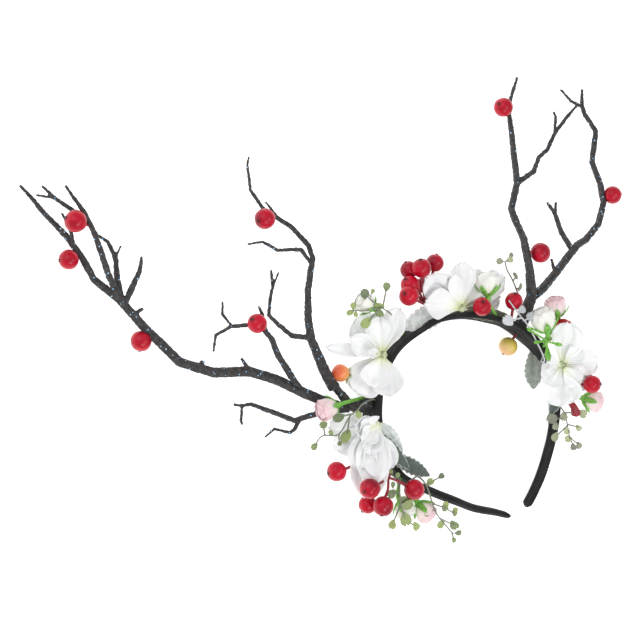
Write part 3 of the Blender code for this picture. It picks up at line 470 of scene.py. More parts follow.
def addBall(bm, centre, radius, axis, stretch, dimple, wobble, seed, finish=0):
    # a ball with a dimple at each pole, the stem end at along 0
    along = bm.verts.layers.float["along"]
    aim = aimAt(axis)
    segments, rings = balls["segments"], balls["rings"]
    verts = []
    for i in range(rings + 1):
        polar = math.pi * i / rings
        dent = sum(math.exp(-(away / balls["dimpleSpread"]) ** 2) for away in (polar, math.pi - polar))
        row = []
        for k in range(1 if i in (0, rings) else segments):
            angle = math.tau * k / segments
            bumps = polarPoint(polar, angle) * balls["wobbleScale"] + Vector((seed, seed * 0.7, 0))
            swell = 1 + wobble * noise.noise(bumps) - dimple * dent
            vert = bm.verts.new(centre + aim @ polarPoint(polar, angle, stretch) * radius * swell)
            vert[along] = 1 - i / rings
            row.append(vert)
        verts.append(row)
    for i in range(rings):
        near, far = verts[rings - i], verts[rings - i - 1]
        for k in range(segments):
            corners = [near[k % len(near)], near[(k + 1) % len(near)],
                       far[(k + 1) % len(far)], far[k % len(far)]]
            bm.faces.new(list(dict.fromkeys(corners))).material_index = finish


# The headband: a curved band wound with ribbed black ribbon

band = {
    "thickness": 5.0, "rounding": 2.4, "widthCrown": 24.0, "widthTip": 9.0, "taperStart": 50,
    "taperEnd": 130, "tipRounding": 3.0, "tipShare": 0.4, "rootMargin": 3.0, "stations": 260, "lanes": 64,
    "ribs": 9, "ribDepth": 0.3, "grain": 0.12, "grainScale": (0.12, 3), "bulge": 0.12, "squareness": 0.5,
    "edgeStart": 0.75, "weaveLength": 14,
    # inner outline: angle from the crown in degrees, radius in millimetres
    "outline": [(-179, 72.5), (-171, 65), (-159, 58.5), (-146, 53), (-131, 51), (-117, 52), (-95, 58.5),
                (-76, 63), (-58, 65.5), (-27, 67.5), (-4.5, 64.5), (4.5, 64.5), (20, 63), (41, 62),
                (58, 64), (74, 65.5), (89, 67.5), (105, 67.5), (123, 67), (141, 67), (157, 70), (171, 74.5)],
}


def outlineSlope(number):
    outline = band["outline"]
    before, after = outline[max(number - 1, 0)], outline[min(number + 1, len(outline) - 1)]
    return (after[1] - before[1]) / (after[0] - before[0])


def bandRadius(angle):
    # a smooth curve through the rows of the outline
    outline = band["outline"]
    for number, ((low, near), (high, far)) in enumerate(zip(outline, outline[1:])):
        if angle <= high:
            span = high - low
            t = min(max((angle - low) / span, 0.0), 1.0)
            blend = t * t * (3 - 2 * t)
            leaving = outlineSlope(number) * span * t * (1 - t) ** 2
            arriving = outlineSlope(number + 1) * span * t * t * (t - 1)
            return near * (1 - blend) + far * blend + leaving + arriving
    return outline[-1][1]


def bandWidth(angle):
    share = smooth(band["taperStart"], band["taperEnd"], abs(angle))
    return band["widthCrown"] + (band["widthTip"] - band["widthCrown"]) * share


def bandPoint(angle, radius, height):
    turned = math.radians(angle)
    return ringCentre + Vector((radius * math.sin(turned), radius * math.cos(turned), height)) * mm


def onBand(right, up, height):
    reading = seenAt(right, up, height) - ringCentre
    angle = math.degrees(math.atan2(reading.x, reading.y))
    level = min(height, bandWidth(angle) - band["rootMargin"])
    return bandPoint(angle, bandRadius(angle) + band["thickness"] / 2, level)


def bandSection(angle, close):
    # radius and height round the band: a rounded oblong walked at an even pace, ribbed along its length
    halfWide, halfThick = bandWidth(angle) / 2, band["thickness"] / 2 * close
    middle = bandRadius(angle) + band["thickness"] / 2
    corner = band["rounding"] * close
    section = []
    for k in range(band["lanes"]):
        turned = math.tau * k / band["lanes"]
        flat = abs(math.cos(turned)) ** band["squareness"] * math.copysign(1, math.cos(turned))
        tall = math.sin(turned) / max(abs(math.sin(turned)), abs(math.cos(turned)))
        ribPhase = math.pi * tall * band["ribs"] * halfWide / (band["widthCrown"] / 2)
        grainPlace = Vector((angle * band["grainScale"][0], tall * band["grainScale"][1], flat))
        rib = band["ribDepth"] * math.cos(ribPhase) + band["grain"] * noise.noise(grainPlace)
        over = math.sin(turned) * corner * smooth(band["edgeStart"], 1.0, abs(tall))
        bulge = halfThick * flat * (1 - band["bulge"] * tall * tall)
        rise = (halfWide - corner) * tall + over
        section.append((middle + bulge + rib * flat, halfWide + rise * close))
    return section


def makeHeadband():
    bm = newSkin()
    uvLayer = bm.loops.layers.uv.new("ribbonUV")
    first, last = band["outline"][0][0], band["outline"][-1][0]
    lanes = band["lanes"]
    rings = []
    for i in range(band["stations"] + 1):
        share = i / band["stations"]
        angle = first + (last - first) * share
        toTip = math.radians(min(angle - first, last - angle)) * bandRadius(angle)
        near = min(toTip / band["tipRounding"], 1.0)
        close = band["tipShare"] + (1 - band["tipShare"]) * math.sqrt(max(1 - (1 - near) ** 2, 0.0))
        rings.append([(bm.verts.new(bandPoint(angle, r, z)), (share * band["weaveLength"], k / lanes))
                      for k, (r, z) in enumerate(bandSection(angle, close))])
    for near, far in zip(rings, rings[1:]):
        for k in range(lanes):
            corners = (near[k], near[(k + 1) % lanes], far[(k + 1) % lanes], far[k])
            face = bm.faces.new([vert for vert, _ in corners])
            for loop, (_, place) in zip(face.loops, corners):
                loop[uvLayer].uv = place
    bm.faces.new([vert for vert, _ in reversed(rings[0])])
    bm.faces.new([vert for vert, _ in rings[-1]])
    addPiece("ribbonBand", bm, ["ribbon"], "ribbon", "headband")


makeHeadband()
print("headband wound")


# The twig antlers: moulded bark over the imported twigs, with blue glitter

twigs = {
    "nodes": ["antler_left_stump", "antler_left_outer", "antler_left_upper", "antler_left_middle",
              "antler_left_lower", "antler_right_inner", "antler_right_outer"],
    # millimetres
    "merge": 0.01, "voxel": 0.44, "ridge": 0.36, "knobs": 0.3, "swellLeft": -0.15, "swellRight": 0.12,
    "floor": 0.05, "smoothing": 0.5, "smoothSteps": 3,
    "ridgeScale": 0.55, "ridgeOctaves": 3, "ridgeLevel": 0.45, "knobScale": 0.16,
    "flakesPerSquareMetre": 30000.0, "flakeSize": 0.4, "flakeSizes": (0.5, 1.3),
    "flakeShape": (1.0, 1.0, 0.45), "flakeSeed": 11,
}


def makeTwig(node):
    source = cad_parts[node].data.copy()
    bm = bmesh.new()
    bm.from_mesh(source)
    bmesh.ops.remove_doubles(bm, verts=bm.verts, dist=twigs["merge"] * mm)
    bm.to_mesh(source)
    bm.free()
    rough = newObject("roughTwig", source)
    remesh = rough.modifiers.new("remesh", "REMESH")
    remesh.mode = "VOXEL"
    remesh.voxel_size = twigs["voxel"] * mm
    rounded = rough.modifiers.new("rounded", "SMOOTH")
    rounded.factor = twigs["smoothing"]
    rounded.iterations = twigs["smoothSteps"]
    fine = plainMesh(rough)
    fine.materials.clear()
    normals = [vert.normal.copy() for vert in fine.vertices]
    swell = twigs["swellLeft" if "left" in node else "swellRight"]
    for vert, normal in zip(fine.vertices, normals):
        place = vert.co / mm
        ridge = noise.turbulence(place * twigs["ridgeScale"], twigs["ridgeOctaves"], False)
        knob = max(noise.noise(place * twigs["knobScale"]), 0.0)
        rise = twigs["ridge"] * (ridge - twigs["ridgeLevel"]) + twigs["knobs"] * knob + swell
        vert.co += normal * rise * mm
        vert.co.z = max(vert.co.z, twigs["floor"] * mm)
    return addMesh("twig_" + node[7:], fine, ["bark"], "bark", node)


# Geometry Nodes that the glitter, the stamens and the leaflets share

def socket(tree, name, kind, default=None):
    made = tree.interface.new_socket(name, in_out="INPUT", socket_type="NodeSocket" + kind)
    if default is not None:
        made.default_value = default
    return made.identifier


def newTree(name):
    tree = bpy.data.node_groups.new(name, "GeometryNodeTree")
    tree.interface.new_socket("Geometry", in_out="INPUT", socket_type="NodeSocketGeometry")
    tree.interface.new_socket("Geometry", in_out="OUTPUT", socket_type="NodeSocketGeometry")
    return tree, tree.nodes.new("NodeGroupInput"), tree.nodes.new("NodeGroupOutput")


def endTree(tree, given, result, **placed):
    # sets an instance on each point, makes it real and gives it its finish
    nodes, links = tree.nodes, tree.links
    place = nodes.new("GeometryNodeInstanceOnPoints")
    for name, value in placed.items():
        links.new(value, place.inputs[name])
    realize = nodes.new("GeometryNodeRealizeInstances")
    paint = nodes.new("GeometryNodeSetMaterial")
    links.new(place.outputs["Instances"], realize.inputs["Geometry"])
    links.new(realize.outputs["Geometry"], paint.inputs["Geometry"])
    links.new(given.outputs["Finish"], paint.inputs["Material"])
    links.new(paint.outputs["Geometry"], result.inputs["Geometry"])


def randomSize(tree, given, least, most):
    size = tree.nodes.new("FunctionNodeRandomValue")
    size.inputs[2].default_value = least
    size.inputs[3].default_value = most
    tree.links.new(given.outputs["Seed"], size.inputs["Seed"])
    return size.outputs[1]


def bakeTree(source, tree, values, name):
    # runs a tree on a mesh and returns the plain mesh that comes out
    holder = newObject(name, source)
    modifier = holder.modifiers.new(name, "NODES")
    modifier.node_group = tree
    for identifier, value in values.items():
        modifier[identifier] = value
    bpy.context.view_layer.update()
    return plainMesh(holder)


def glitterTree():
    tree, given, result = newTree("glitterFlakes")
    ids = {
        "density": socket(tree, "Flakes per area", "Float", 10000.0),
        "size": socket(tree, "Flake size", "Float", 0.0003),
        "seed": socket(tree, "Seed", "Int", 0),
        "finish": socket(tree, "Finish", "Material"),
    }
    nodes, links = tree.nodes, tree.links
    scatter = nodes.new("GeometryNodeDistributePointsOnFaces")
    links.new(given.outputs["Geometry"], scatter.inputs["Mesh"])
    links.new(given.outputs["Flakes per area"], scatter.inputs["Density"])
    links.new(given.outputs["Seed"], scatter.inputs["Seed"])
    flake = addNode(nodes, "GeometryNodeMeshIcoSphere", Subdivisions=1)
    links.new(given.outputs["Flake size"], flake.inputs["Radius"])
    flat = nodes.new("ShaderNodeVectorMath")
    flat.operation = "SCALE"
    flat.inputs[0].default_value = twigs["flakeShape"]
    links.new(randomSize(tree, given, *twigs["flakeSizes"]), flat.inputs["Scale"])
    endTree(tree, given, result, Points=scatter.outputs["Points"], Instance=flake.outputs["Mesh"],
            Rotation=scatter.outputs["Rotation"], Scale=flat.outputs["Vector"])
    return tree, ids


def makeTwigs():
    tree, ids = glitterTree()
    for number, node in enumerate(twigs["nodes"]):
        twig = makeTwig(node)
        flakes = bakeTree(twig.data.copy(), tree, {
            ids["density"]: twigs["flakesPerSquareMetre"], ids["size"]: twigs["flakeSize"] * mm,
            ids["seed"]: twigs["flakeSeed"] + number, ids["finish"]: finishes["glitter"]}, "flakes")
        if len(flakes.polygons):
            addMesh("glitter_" + node[7:], flakes, [], "bark")
    print("twigs moulded")


makeTwigs()


# Berries

berries = {
    # millimetres: stem, how far a stem swings over a run, and a tuft's stops along and out from the berry
    "stem": 0.75, "swing": 1.2, "swingRun": 20, "hubStem": (1.1, 1.3),
    "tuft": [(-0.2, 0.25), (0.6, 0.6), (1.2, 1.0)], "tuftWidths": (0.45, 0.15), "tuftPoints": 5,
    # shares of a berry's radius, and of its stem
    "swell": 1.03, "dimple": 0.05, "wobble": 0.03, "neck": 0.86, "crown": 0.9, "stemFlare": 1.35,
    "spraySeed": 40,
    # a red joint that shows below the right flower, on the side berry's stem
    "joint": {"stops": [(70, 12, 16), (75, 5.5, 19), (76.5, 1.5, 18)], "radii": (1.6, 3.2),
              "stretch": 0.9, "dimple": 0.1, "wobble": 0.12},
    # node: right, up, height, radius, then the stem's end
    "places": {
        "antler_berry_left_1": (-248.5, 126, 25, 6.6, -240, 123, 24),
        "antler_berry_left_2": (-253, 101, 9, 5.9, -243.5, 102, 9),
        "antler_berry_left_3": (-206, 48, 14, 6.2, -204.5, 57, 16),
        "antler_berry_left_4": (-125.5, 127.5, 26, 6.3, -118.5, 129.5, 21.5),
        "antler_berry_left_5": (-130.5, 59.5, 33, 5.9, -126, 56, 29.5),
        "antler_berry_right_1": (29.5, 200, 18, 6.1, 33.5, 197, 14),
        "antler_berry_right_2": (53.5, 105.5, 24, 6.4, 44.5, 105.5, 24),
        "antler_berry_right_3": (100.5, 143, 12, 5.8, 94, 142, 10),
        "berry_single_left": (-78.8, -36.7, 14, 6.1, -57, -34, 14),
        "berry_top": (15.6, 70.4, 29, 5.8, 14, 62, 20),
        "berry_right_upper": (36.3, 74, 25, 5.6, 35, 62, 18),
        "berry_right_middle": (68.4, 56.5, 17, 6.1, 58, 47, 12),
        "berry_right_side": (87.2, 20, 27, 5.8, 68, 20, 14),
        "berry_yellow": (32.5, 44.5, 6.5, 6.0, 37, 51, 8),
    },
    "sprays": {
        "berry_spray_top": {"hub": (-21, 71.5, 19), "root": (-22, 62, 13), "berries": [
            (-15, 98.8, 20, 5.6), (-23.7, 95.5, 29, 6.0), (-31.9, 94.3, 20, 5.5), (-31.2, 84.5, 26, 5.9),
            (-31.9, 77.4, 32, 6.1), (-22, 84.5, 16, 5.2)]},
        "berry_spray_bottom": {"hub": (-45.2, -40.7, 24), "root": (-44, -33, 18), "berries": [
            (-57.2, -47.8, 33, 6.3), (-58.7, -58.2, 16, 5.7), (-48.6, -59.3, 29, 6.3),
            (-28.5, -48.5, 28, 6.4)]},
    },
}


def addBerry(bm, centre, radius, root, seed):
    away = (centre - root).normalized()
    chance = random.Random(seed)
    addBall(bm, centre, radius * berries["swell"], away, 1.0, berries["dimple"], berries["wobble"], seed)
    swing = (sightRight * chance.uniform(-1, 1) + sightUp * chance.uniform(-1, 1)) * berries["swing"] * mm
    neck = centre - away * (radius * berries["neck"])
    bend = (neck + root) / 2 + swing * (root - neck).length / (berries["swingRun"] * mm)
    stem = berries["stem"] * mm
    addRod(bm, roundPath([neck, bend, root], 5), (stem * berries["stemFlare"], stem), 8, 1)
    crown = centre + away * radius * berries["crown"]
    side = away.orthogonal().normalized()
    for k in range(berries["tuftPoints"]):
        out = Matrix.Rotation(math.tau * k / berries["tuftPoints"] + seed, 3, away) @ side
        stops = [crown + away * rise * mm + out * reach * mm for rise, reach in berries["tuft"]]
        addRod(bm, stops, inMetres(berries["tuftWidths"]), 6, 2)


def makeBerries():
    for number, (node, row) in enumerate(berries["places"].items()):
        right, up, height, radius, *stemEnd = row
        carrier = seenAt if node.startswith("antler") else onBand
        bm = newSkin()
        addBerry(bm, seenAt(right, up, height), radius * mm, carrier(*stemEnd), number)
        if node == "berry_right_side":
            joint = berries["joint"]
            stops = [seenAt(*stop) for stop in joint["stops"]]
            thin, thick = inMetres(joint["radii"])
            addRod(bm, roundPath(stops, 4), (thin, thick), 10, 1)
            addBall(bm, stops[-1], thick, sightUp, joint["stretch"], joint["dimple"], joint["wobble"],
                    number, 1)
        finish = "yellow" if node == "berry_yellow" else "berry"
        addPiece("fruit_" + node, bm, [finish, "berryStem", "blossom"], finish, node)
    for number, (node, spray) in enumerate(berries["sprays"].items()):
        hub, root = seenAt(*spray["hub"]), onBand(*spray["root"])
        bm = newSkin()
        addRod(bm, roundPath([root, hub], 4), inMetres(berries["hubStem"]), 8, 1)
        for k, (*place, radius) in enumerate(spray["berries"]):
            addBerry(bm, seenAt(*place), radius * mm, hub, berries["spraySeed"] + number * 10 + k)
        addPiece("fruit_" + node, bm, ["berry", "berryStem", "blossom"], "berry", node)
    print("berries hung")


makeBerries()


# Rosebuds, with wrapped petals, a calyx and a stem

buds = {
    "stretch": 1.12, "petalWall": 0.3, "dimple": 0.05, "orangeWobble": 0.03, "coreWobble": 0.05,
    # shares of the radius: the core, the petals' fit, the sepals' stand, the calyx and its funnel
    "core": 0.8, "fit": 0.97, "sepalStand": 0.93, "neck": 1.02, "funnel": 1.75,
    # in degrees: where a petal starts, how far its sides droop, all petals together, and their overlap
    "wrap": {"base": 150, "droop": 16, "spread": 190, "overlap": 22, "widest": 1.15, "narrowing": 0.62,
             "least": 0.08, "flareStart": 0.65, "lean": 0.03, "crinkle": 0.02},
    "sepal": {"count": 5, "wall": 0.5, "base": 176, "half": 40, "reach": 96, "orangeReach": 128,
              "stand": 1.1, "curl": 0.22, "curlStart": 0.55, "ridge": 0.05, "taper": 0.8, "tip": 0.02},
    "calyxWidths": (2.2, 1.35), "stemWidths": (1.3, 1.0),
    # node: finish, slot, right, up, height, radius, the calyx, then the stem's end
    "places": {
        "rosebud_pink_left": ("rosePink", "rose_pink", -85.5, 3.6, 27, 6.9, -74.5, 7.8, -58, 13, 8),
        "rosebud_white_top_left": ("roseWhite", "rose_white", -60.5, 73, 27, 6.3, -55.5, 69.5, -42, 60, 14),
        "rosebud_white_top": ("roseWhite", "rose_white", 19.5, 86, 24, 7.2, 19.5, 77, 26, 62, 20),
        "rosebud_white_right": ("roseWhite", "rose_white", 55, 62.4, 30, 8.0, 58.5, 52, 58, 46, 18),
        "rosebud_pink_right": ("rosePink", "rose_pink", 63.4, 71, 14, 6.9, 65, 62, 58, 50, 12),
        "rosebud_pink_side": ("rosePink", "rose_pink", 88, 9, 15, 6.7, 81, 11, 66, 12, 12),
        "rosebud_white_bottom": ("roseWhite", "rose_white", -34.5, -61.8, 14, 6.2, -38, -55, -40, -41, 12),
        "rosebud_pink_bottom": ("rosePink", "rose_pink", -21.5, -63, 13, 6.8, -27, -56, -32, -44, 11),
        "bud_orange": ("orange", "orange", -76.4, 27.3, 19, 5.6, -70, 25, -56, 22, 12),
    },
    # layers: petals, share of the radius, how near the tip the rim comes in degrees, flare
    "layers": [(3, 0.84, 12, 0.02), (4, 0.92, 30, 0.05), (5, 1.0, 52, 0.1)],
}


def addWrap(bm, centre, axis, radius, azimuth, spread, rimAngle, flare, seed):
    # one petal wrapped round the bud from the calyx to its rim
    aim, wrap = aimAt(axis), buds["wrap"]

    def pointAt(u, v):
        wide = math.sqrt(max(1 - (2 * u - wrap["widest"]) ** 2 * wrap["narrowing"], wrap["least"]))
        polar = math.radians(wrap["base"] + (rimAngle - wrap["base"]) * u + wrap["droop"] * v * v * u)
        azimuthHere = azimuth + math.radians(spread) * wide * v
        swell = 1 + flare * smooth(wrap["flareStart"], 1.0, u) * (1 + v * v / 2) + wrap["lean"] * v
        swell += wrap["crinkle"] * noise.noise(Vector((u * 3, v * 3, seed)))
        return centre + aim @ polarPoint(polar, azimuthHere, buds["stretch"]) * (radius * swell)

    addSheet(bm, 10, 10, pointAt, buds["petalWall"] * mm)


def addSepal(bm, centre, axis, radius, azimuth, reachAngle):
    aim, sepal = aimAt(axis), buds["sepal"]

    def pointAt(u, v):
        polar = math.radians(sepal["base"] + (reachAngle - sepal["base"]) * u)
        half = math.radians(sepal["half"]) * (1 - u) ** sepal["taper"] + sepal["tip"]
        swell = sepal["stand"] + sepal["curl"] * smooth(sepal["curlStart"], 1.0, u)
        swell += sepal["ridge"] * (1 - v * v)
        return centre + aim @ polarPoint(polar, azimuth + half * v, buds["stretch"]) * (radius * swell)

    addSheet(bm, 7, 4, pointAt, sepal["wall"] * mm, 1)


def addBudPetals(bm, centre, away, radius, number):
    core = radius * buds["core"]
    addBall(bm, centre, core, away, buds["stretch"], buds["dimple"], buds["coreWobble"], number)
    for count, share, rimAngle, flare in buds["layers"]:
        spread = buds["wrap"]["spread"] / count + buds["wrap"]["overlap"]
        for k in range(count):
            azimuth = math.tau * (k + share * 3.7 + number * 0.31) / count
            addWrap(bm, centre, away, radius * share * buds["fit"], azimuth, spread, rimAngle, flare,
                    number * 5 + k)


def makeBuds():
    for number, (node, row) in enumerate(buds["places"].items()):
        finish, slot, right, up, height, radius, tailRight, tailUp, *rootPlace = row
        centre, tail = seenAt(right, up, height), seenAt(tailRight, tailUp, height - 1)
        root = onBand(*rootPlace)
        away = (centre - tail).normalized()
        radius = radius * mm
        orange = finish == "orange"
        bm = newSkin()
        if orange:
            addBall(bm, centre, radius, away, 1.0, buds["dimple"], buds["orangeWobble"], number)
        else:
            addBudPetals(bm, centre, away, radius, number)
        sepal = buds["sepal"]
        for k in range(sepal["count"]):
            addSepal(bm, centre, away, radius * buds["sepalStand"], math.tau * k / sepal["count"] + number,
                     sepal["orangeReach" if orange else "reach"])
        neck = centre - away * radius * buds["neck"]
        funnel = centre - away * radius * buds["funnel"]
        bend = (funnel + root) / 2 + toViewer * mm
        addRod(bm, roundPath([neck, funnel], 4), inMetres(buds["calyxWidths"]), 12, 1)
        addRod(bm, roundPath([funnel, bend, root], 6), inMetres(buds["stemWidths"]), 8, 1)
        addPiece("bloom_" + node, bm, [finish, "paleGreen" if orange else "calyx"], slot, node)
    print("rosebuds wrapped")


makeBuds()


# Cloth flowers

flowers = {
    # millimetres
    "wall": 0.4, "claw": 2.2, "innerLift": 1.5, "cupDepth": 6, "cupTop": 1.0, "bareCupTop": -4.0,
    "cupWidths": (2.0, 3.2), "stamenLength": 3.8, "stamenRing": 1.1, "stamenStart": 1.5,
    "rows": 26, "columns": 20,
    # shares of a petal's length
    "bow": 0.12, "curl": 0.07, "notch": 0.03, "ragged": 0.045, "trim": 0.07, "widest": 0.62, "tipEnd": 1.01,
    # shares of its width, or of half of it
    "ruffle": 0.085, "crease": 0.035, "pleat": 0.02, "dent": 0.045, "wave": 0.06,
    "clawWidth": 0.2, "waver": 0.04, "uneven": 0.07, "lean": 0.08,
    # how full the blade is and how blunt its tip
    "fullness": 1.4, "bluntness": 2.4,
    # petals: right, up, height, width, cup
    "places": {
        "flower_left_upper": {"heart": (-49.5, 39.3, 25), "root": (-44, 36, 12), "stamens": 5, "petals": [
            (-38.2, 70, 30, 16, 0.35), (-66, 63.5, 22, 23, 0.25), (-84.5, 44.5, 27, 9, 0.6),
            (-67, 14.5, 22, 25, 0.25), (-43.7, 12, 31, 21, 0.3)], "inner": [
            (-52, 64.5, 28, 18, 0.4), (-69.5, 49.5, 31, 15, 0.5), (-55.5, 18, 33, 19, 0.35),
            (-58, 41, 34, 7, 0.7)]},
        "flower_left_lower": {"heart": (-54, -9, 27), "root": (-50, -12, 13), "stamens": 0, "fold": 5.0,
                              "petals": [
            (-83.5, -8, 20, 19, 0.25), (-80.5, -22, 18, 17, 0.3), (-60.5, -2.5, 31, 16, 0.45),
            (-42.2, -35, 31, 15, 0.5), (-60.5, -54, 24, 24, 0.25)], "inner": [
            (-67, -8, 29, 15, 0.5), (-57, -46, 33, 21, 0.45), (-50.5, -42, 32, 17, 0.45),
            (-68, -34, 27, 18, 0.4), (-56, -26, 34, 13, 0.6),
            (-62, -17, 34, 12, 0.7)]},
        "flower_top": {"heart": (2, 70, 22), "root": (2, 63, 14), "stamens": 4, "petals": [
            (-18.5, 90.5, 31, 21, 0.3), (4.3, 99.5, 26, 16, 0.45), (16.5, 94.5, 20, 18, 0.3),
            (32, 91, 16, 18, 0.3), (29, 77, 12, 14, 0.3), (-19.5, 74.5, 31, 20, 0.45)], "inner": [
            (-1.5, 92, 31, 13, 0.6)]},
        "flower_right": {"heart": (67.7, 32.4, 23), "root": (63, 32, 12), "stamens": 3, "petals": [
            (73.4, 59.5, 32, 21, 0.3), (92, 36, 24, 17, 0.35), (86.5, 20, 22, 16, 0.3),
            (68.5, 6, 30, 26, 0.25), (56, 22, 29, 18, 0.4)], "inner": [
            (80.5, 43, 30, 12, 0.6), (78, 19, 30, 13, 0.5), (58, 34.5, 30, 9, 0.5)]},
    },
}


def petalHalf(u):
    # a narrow claw, a broad blade and a blunt tip
    claw, widest, blunt = flowers["clawWidth"], flowers["widest"], flowers["bluntness"]
    if u < widest:
        return claw + (1 - claw) * math.sin(math.pi * u / (2 * widest)) ** flowers["fullness"]
    return max(1 - ((u - widest) / (flowers["tipEnd"] - widest)) ** blunt, 0.0) ** (1 / blunt)


def addPetal(bm, start, tip, width, cup, seed):
    chance = random.Random(seed)
    phase, waves = chance.uniform(0, 6.28), chance.uniform(5, 8)
    lean = chance.uniform(-flowers["lean"], flowers["lean"])
    length, along, across, facing = sheetAxes(start, tip)
    wide = width * mm

    def wrinkle(x, y, z):
        return noise.noise(Vector((x, y, z)))

    def pointAt(u, v):
        half = wide / 2 * petalHalf(u) * (1 + flowers["waver"] * math.sin(7 * u + phase))
        half *= 1 + flowers["uneven"] * wrinkle(u * 6, seed * 2.1, 0)
        ruffle = u * u * abs(v) ** 1.5 * math.sin(waves * (u + 0.6 * v) + phase)
        crease = math.exp(-(v / 0.14) ** 2) * smooth(0.0, 0.3, u) * (1 - 0.6 * u)
        pleat = math.sin(v * 9 + phase + 1.5 * u) * smooth(0.05, 0.4, u)
        rise = -length * (flowers["bow"] * math.sin(math.pi * u) + flowers["curl"] * smooth(0.78, 1.0, u))
        rise += cup * half * v * v
        rise += wide * (flowers["ruffle"] * ruffle - flowers["crease"] * crease + flowers["pleat"] * pleat)
        rise += wide * flowers["dent"] * wrinkle(u * 1.5, v * 5.0, seed * 1.3)
        rise += wide * flowers["wave"] * wrinkle(u * 2.4, v * 1.6, seed * 1.9)
        trim = flowers["trim"] * v * v * u ** 3
        trim += flowers["notch"] * math.exp(-(v / 0.2) ** 2) * smooth(0.85, 1.0, u)
        trim += flowers["ragged"] * wrinkle(v * 4, seed * 0.9, 3) * smooth(0.7, 1.0, u)
        side = half * v + lean * wide * u * u
        return start + along * (length * (u - trim)) + across * side + facing * rise

    addSheet(bm, flowers["rows"], flowers["columns"], pointAt, flowers["wall"] * mm)


# a stamen's sizes in metres
stamens = {"spreadOut": 320.0, "sizes": (0.7, 1.15), "foot": 0.00028, "neck": 0.00016, "head": 0.00052}


def stamenTree():
    tree, given, result = newTree("stamens")
    ids = {
        "count": socket(tree, "Stamens", "Int", 12),
        "length": socket(tree, "Length", "Float", 0.006),
        "spread": socket(tree, "Spread", "Float", 0.0012),
        "seed": socket(tree, "Seed", "Int", 0),
        "finish": socket(tree, "Finish", "Material"),
    }
    nodes, links = tree.nodes, tree.links
    circle = nodes.new("GeometryNodeMeshCircle")
    links.new(given.outputs["Stamens"], circle.inputs["Vertices"])
    links.new(given.outputs["Spread"], circle.inputs["Radius"])
    where = nodes.new("GeometryNodeInputPosition")
    outward = nodes.new("ShaderNodeVectorMath")
    outward.operation = "MULTIPLY_ADD"
    outward.inputs[1].default_value = (stamens["spreadOut"], stamens["spreadOut"], stamens["spreadOut"])
    outward.inputs[2].default_value = (0.0, 0.0, 1.0)
    links.new(where.outputs["Position"], outward.inputs[0])
    aim = nodes.new("FunctionNodeAlignRotationToVector")
    aim.axis = "Z"
    links.new(outward.outputs["Vector"], aim.inputs["Vector"])
    rod = addNode(nodes, "GeometryNodeMeshCone", Vertices=5,
                  Radius_Bottom=stamens["foot"], Radius_Top=stamens["neck"])
    links.new(given.outputs["Length"], rod.inputs["Depth"])
    head = addNode(nodes, "GeometryNodeMeshIcoSphere", Radius=stamens["head"], Subdivisions=2)
    lift = nodes.new("GeometryNodeTransform")
    tip = nodes.new("ShaderNodeCombineXYZ")
    links.new(given.outputs["Length"], tip.inputs["Z"])
    links.new(tip.outputs["Vector"], lift.inputs["Translation"])
    links.new(head.outputs["Mesh"], lift.inputs["Geometry"])
    both = nodes.new("GeometryNodeJoinGeometry")
    links.new(rod.outputs["Mesh"], both.inputs["Geometry"])
    links.new(lift.outputs["Geometry"], both.inputs["Geometry"])
    endTree(tree, given, result, Points=circle.outputs["Mesh"], Instance=both.outputs["Geometry"],
            Rotation=aim.outputs["Rotation"], Scale=randomSize(tree, given, *stamens["sizes"]))
    return tree, ids


def makeFlowers():
    tree, ids = stamenTree()
    for number, (node, flower) in enumerate(flowers["places"].items()):
        heart, root = seenAt(*flower["heart"]), onBand(*flower["root"])
        away = (heart - root).normalized()
        bm = newSkin()
        for k, (right, up, height, width, cup) in enumerate(flower["petals"] + flower["inner"]):
            tip = seenAt(right, up, height)
            inner = k >= len(flower["petals"])
            # a fold carries the inner petals over the flower's centre
            claw = -flower["fold"] if inner and "fold" in flower else flowers["claw"]
            start = heart + (tip - heart).normalized() * claw * mm
            start += toViewer * (flowers["innerLift"] * mm if inner else 0)
            addPetal(bm, start, tip, width, cup, number * 20 + k)
        cupTop = heart + away * flowers["cupTop" if flower["stamens"] else "bareCupTop"] * mm
        cupPath = roundPath([root, heart - away * flowers["cupDepth"] * mm, cupTop], 4)
        addRod(bm, cupPath, inMetres(flowers["cupWidths"]), 12, 1)
        addPiece("bloom_" + node, bm, ["petal", "paleGreen"], "petal", node)
        if not flower["stamens"]:
            continue
        tuft = bakeTree(bpy.data.meshes.new("seed"), tree, {
            ids["count"]: flower["stamens"], ids["length"]: flowers["stamenLength"] * mm,
            ids["spread"]: flowers["stamenRing"] * mm, ids["seed"]: number,
            ids["finish"]: finishes["stamen"]}, "stamens")
        start = heart + away * flowers["stamenStart"] * mm
        tuft.transform(Matrix.Translation(start) @ aimAt(toViewer).to_4x4())
        addMesh("stamens_" + node[7:], tuft, [], "petal")
    print("flowers opened")


makeFlowers()


# Serrated leaves

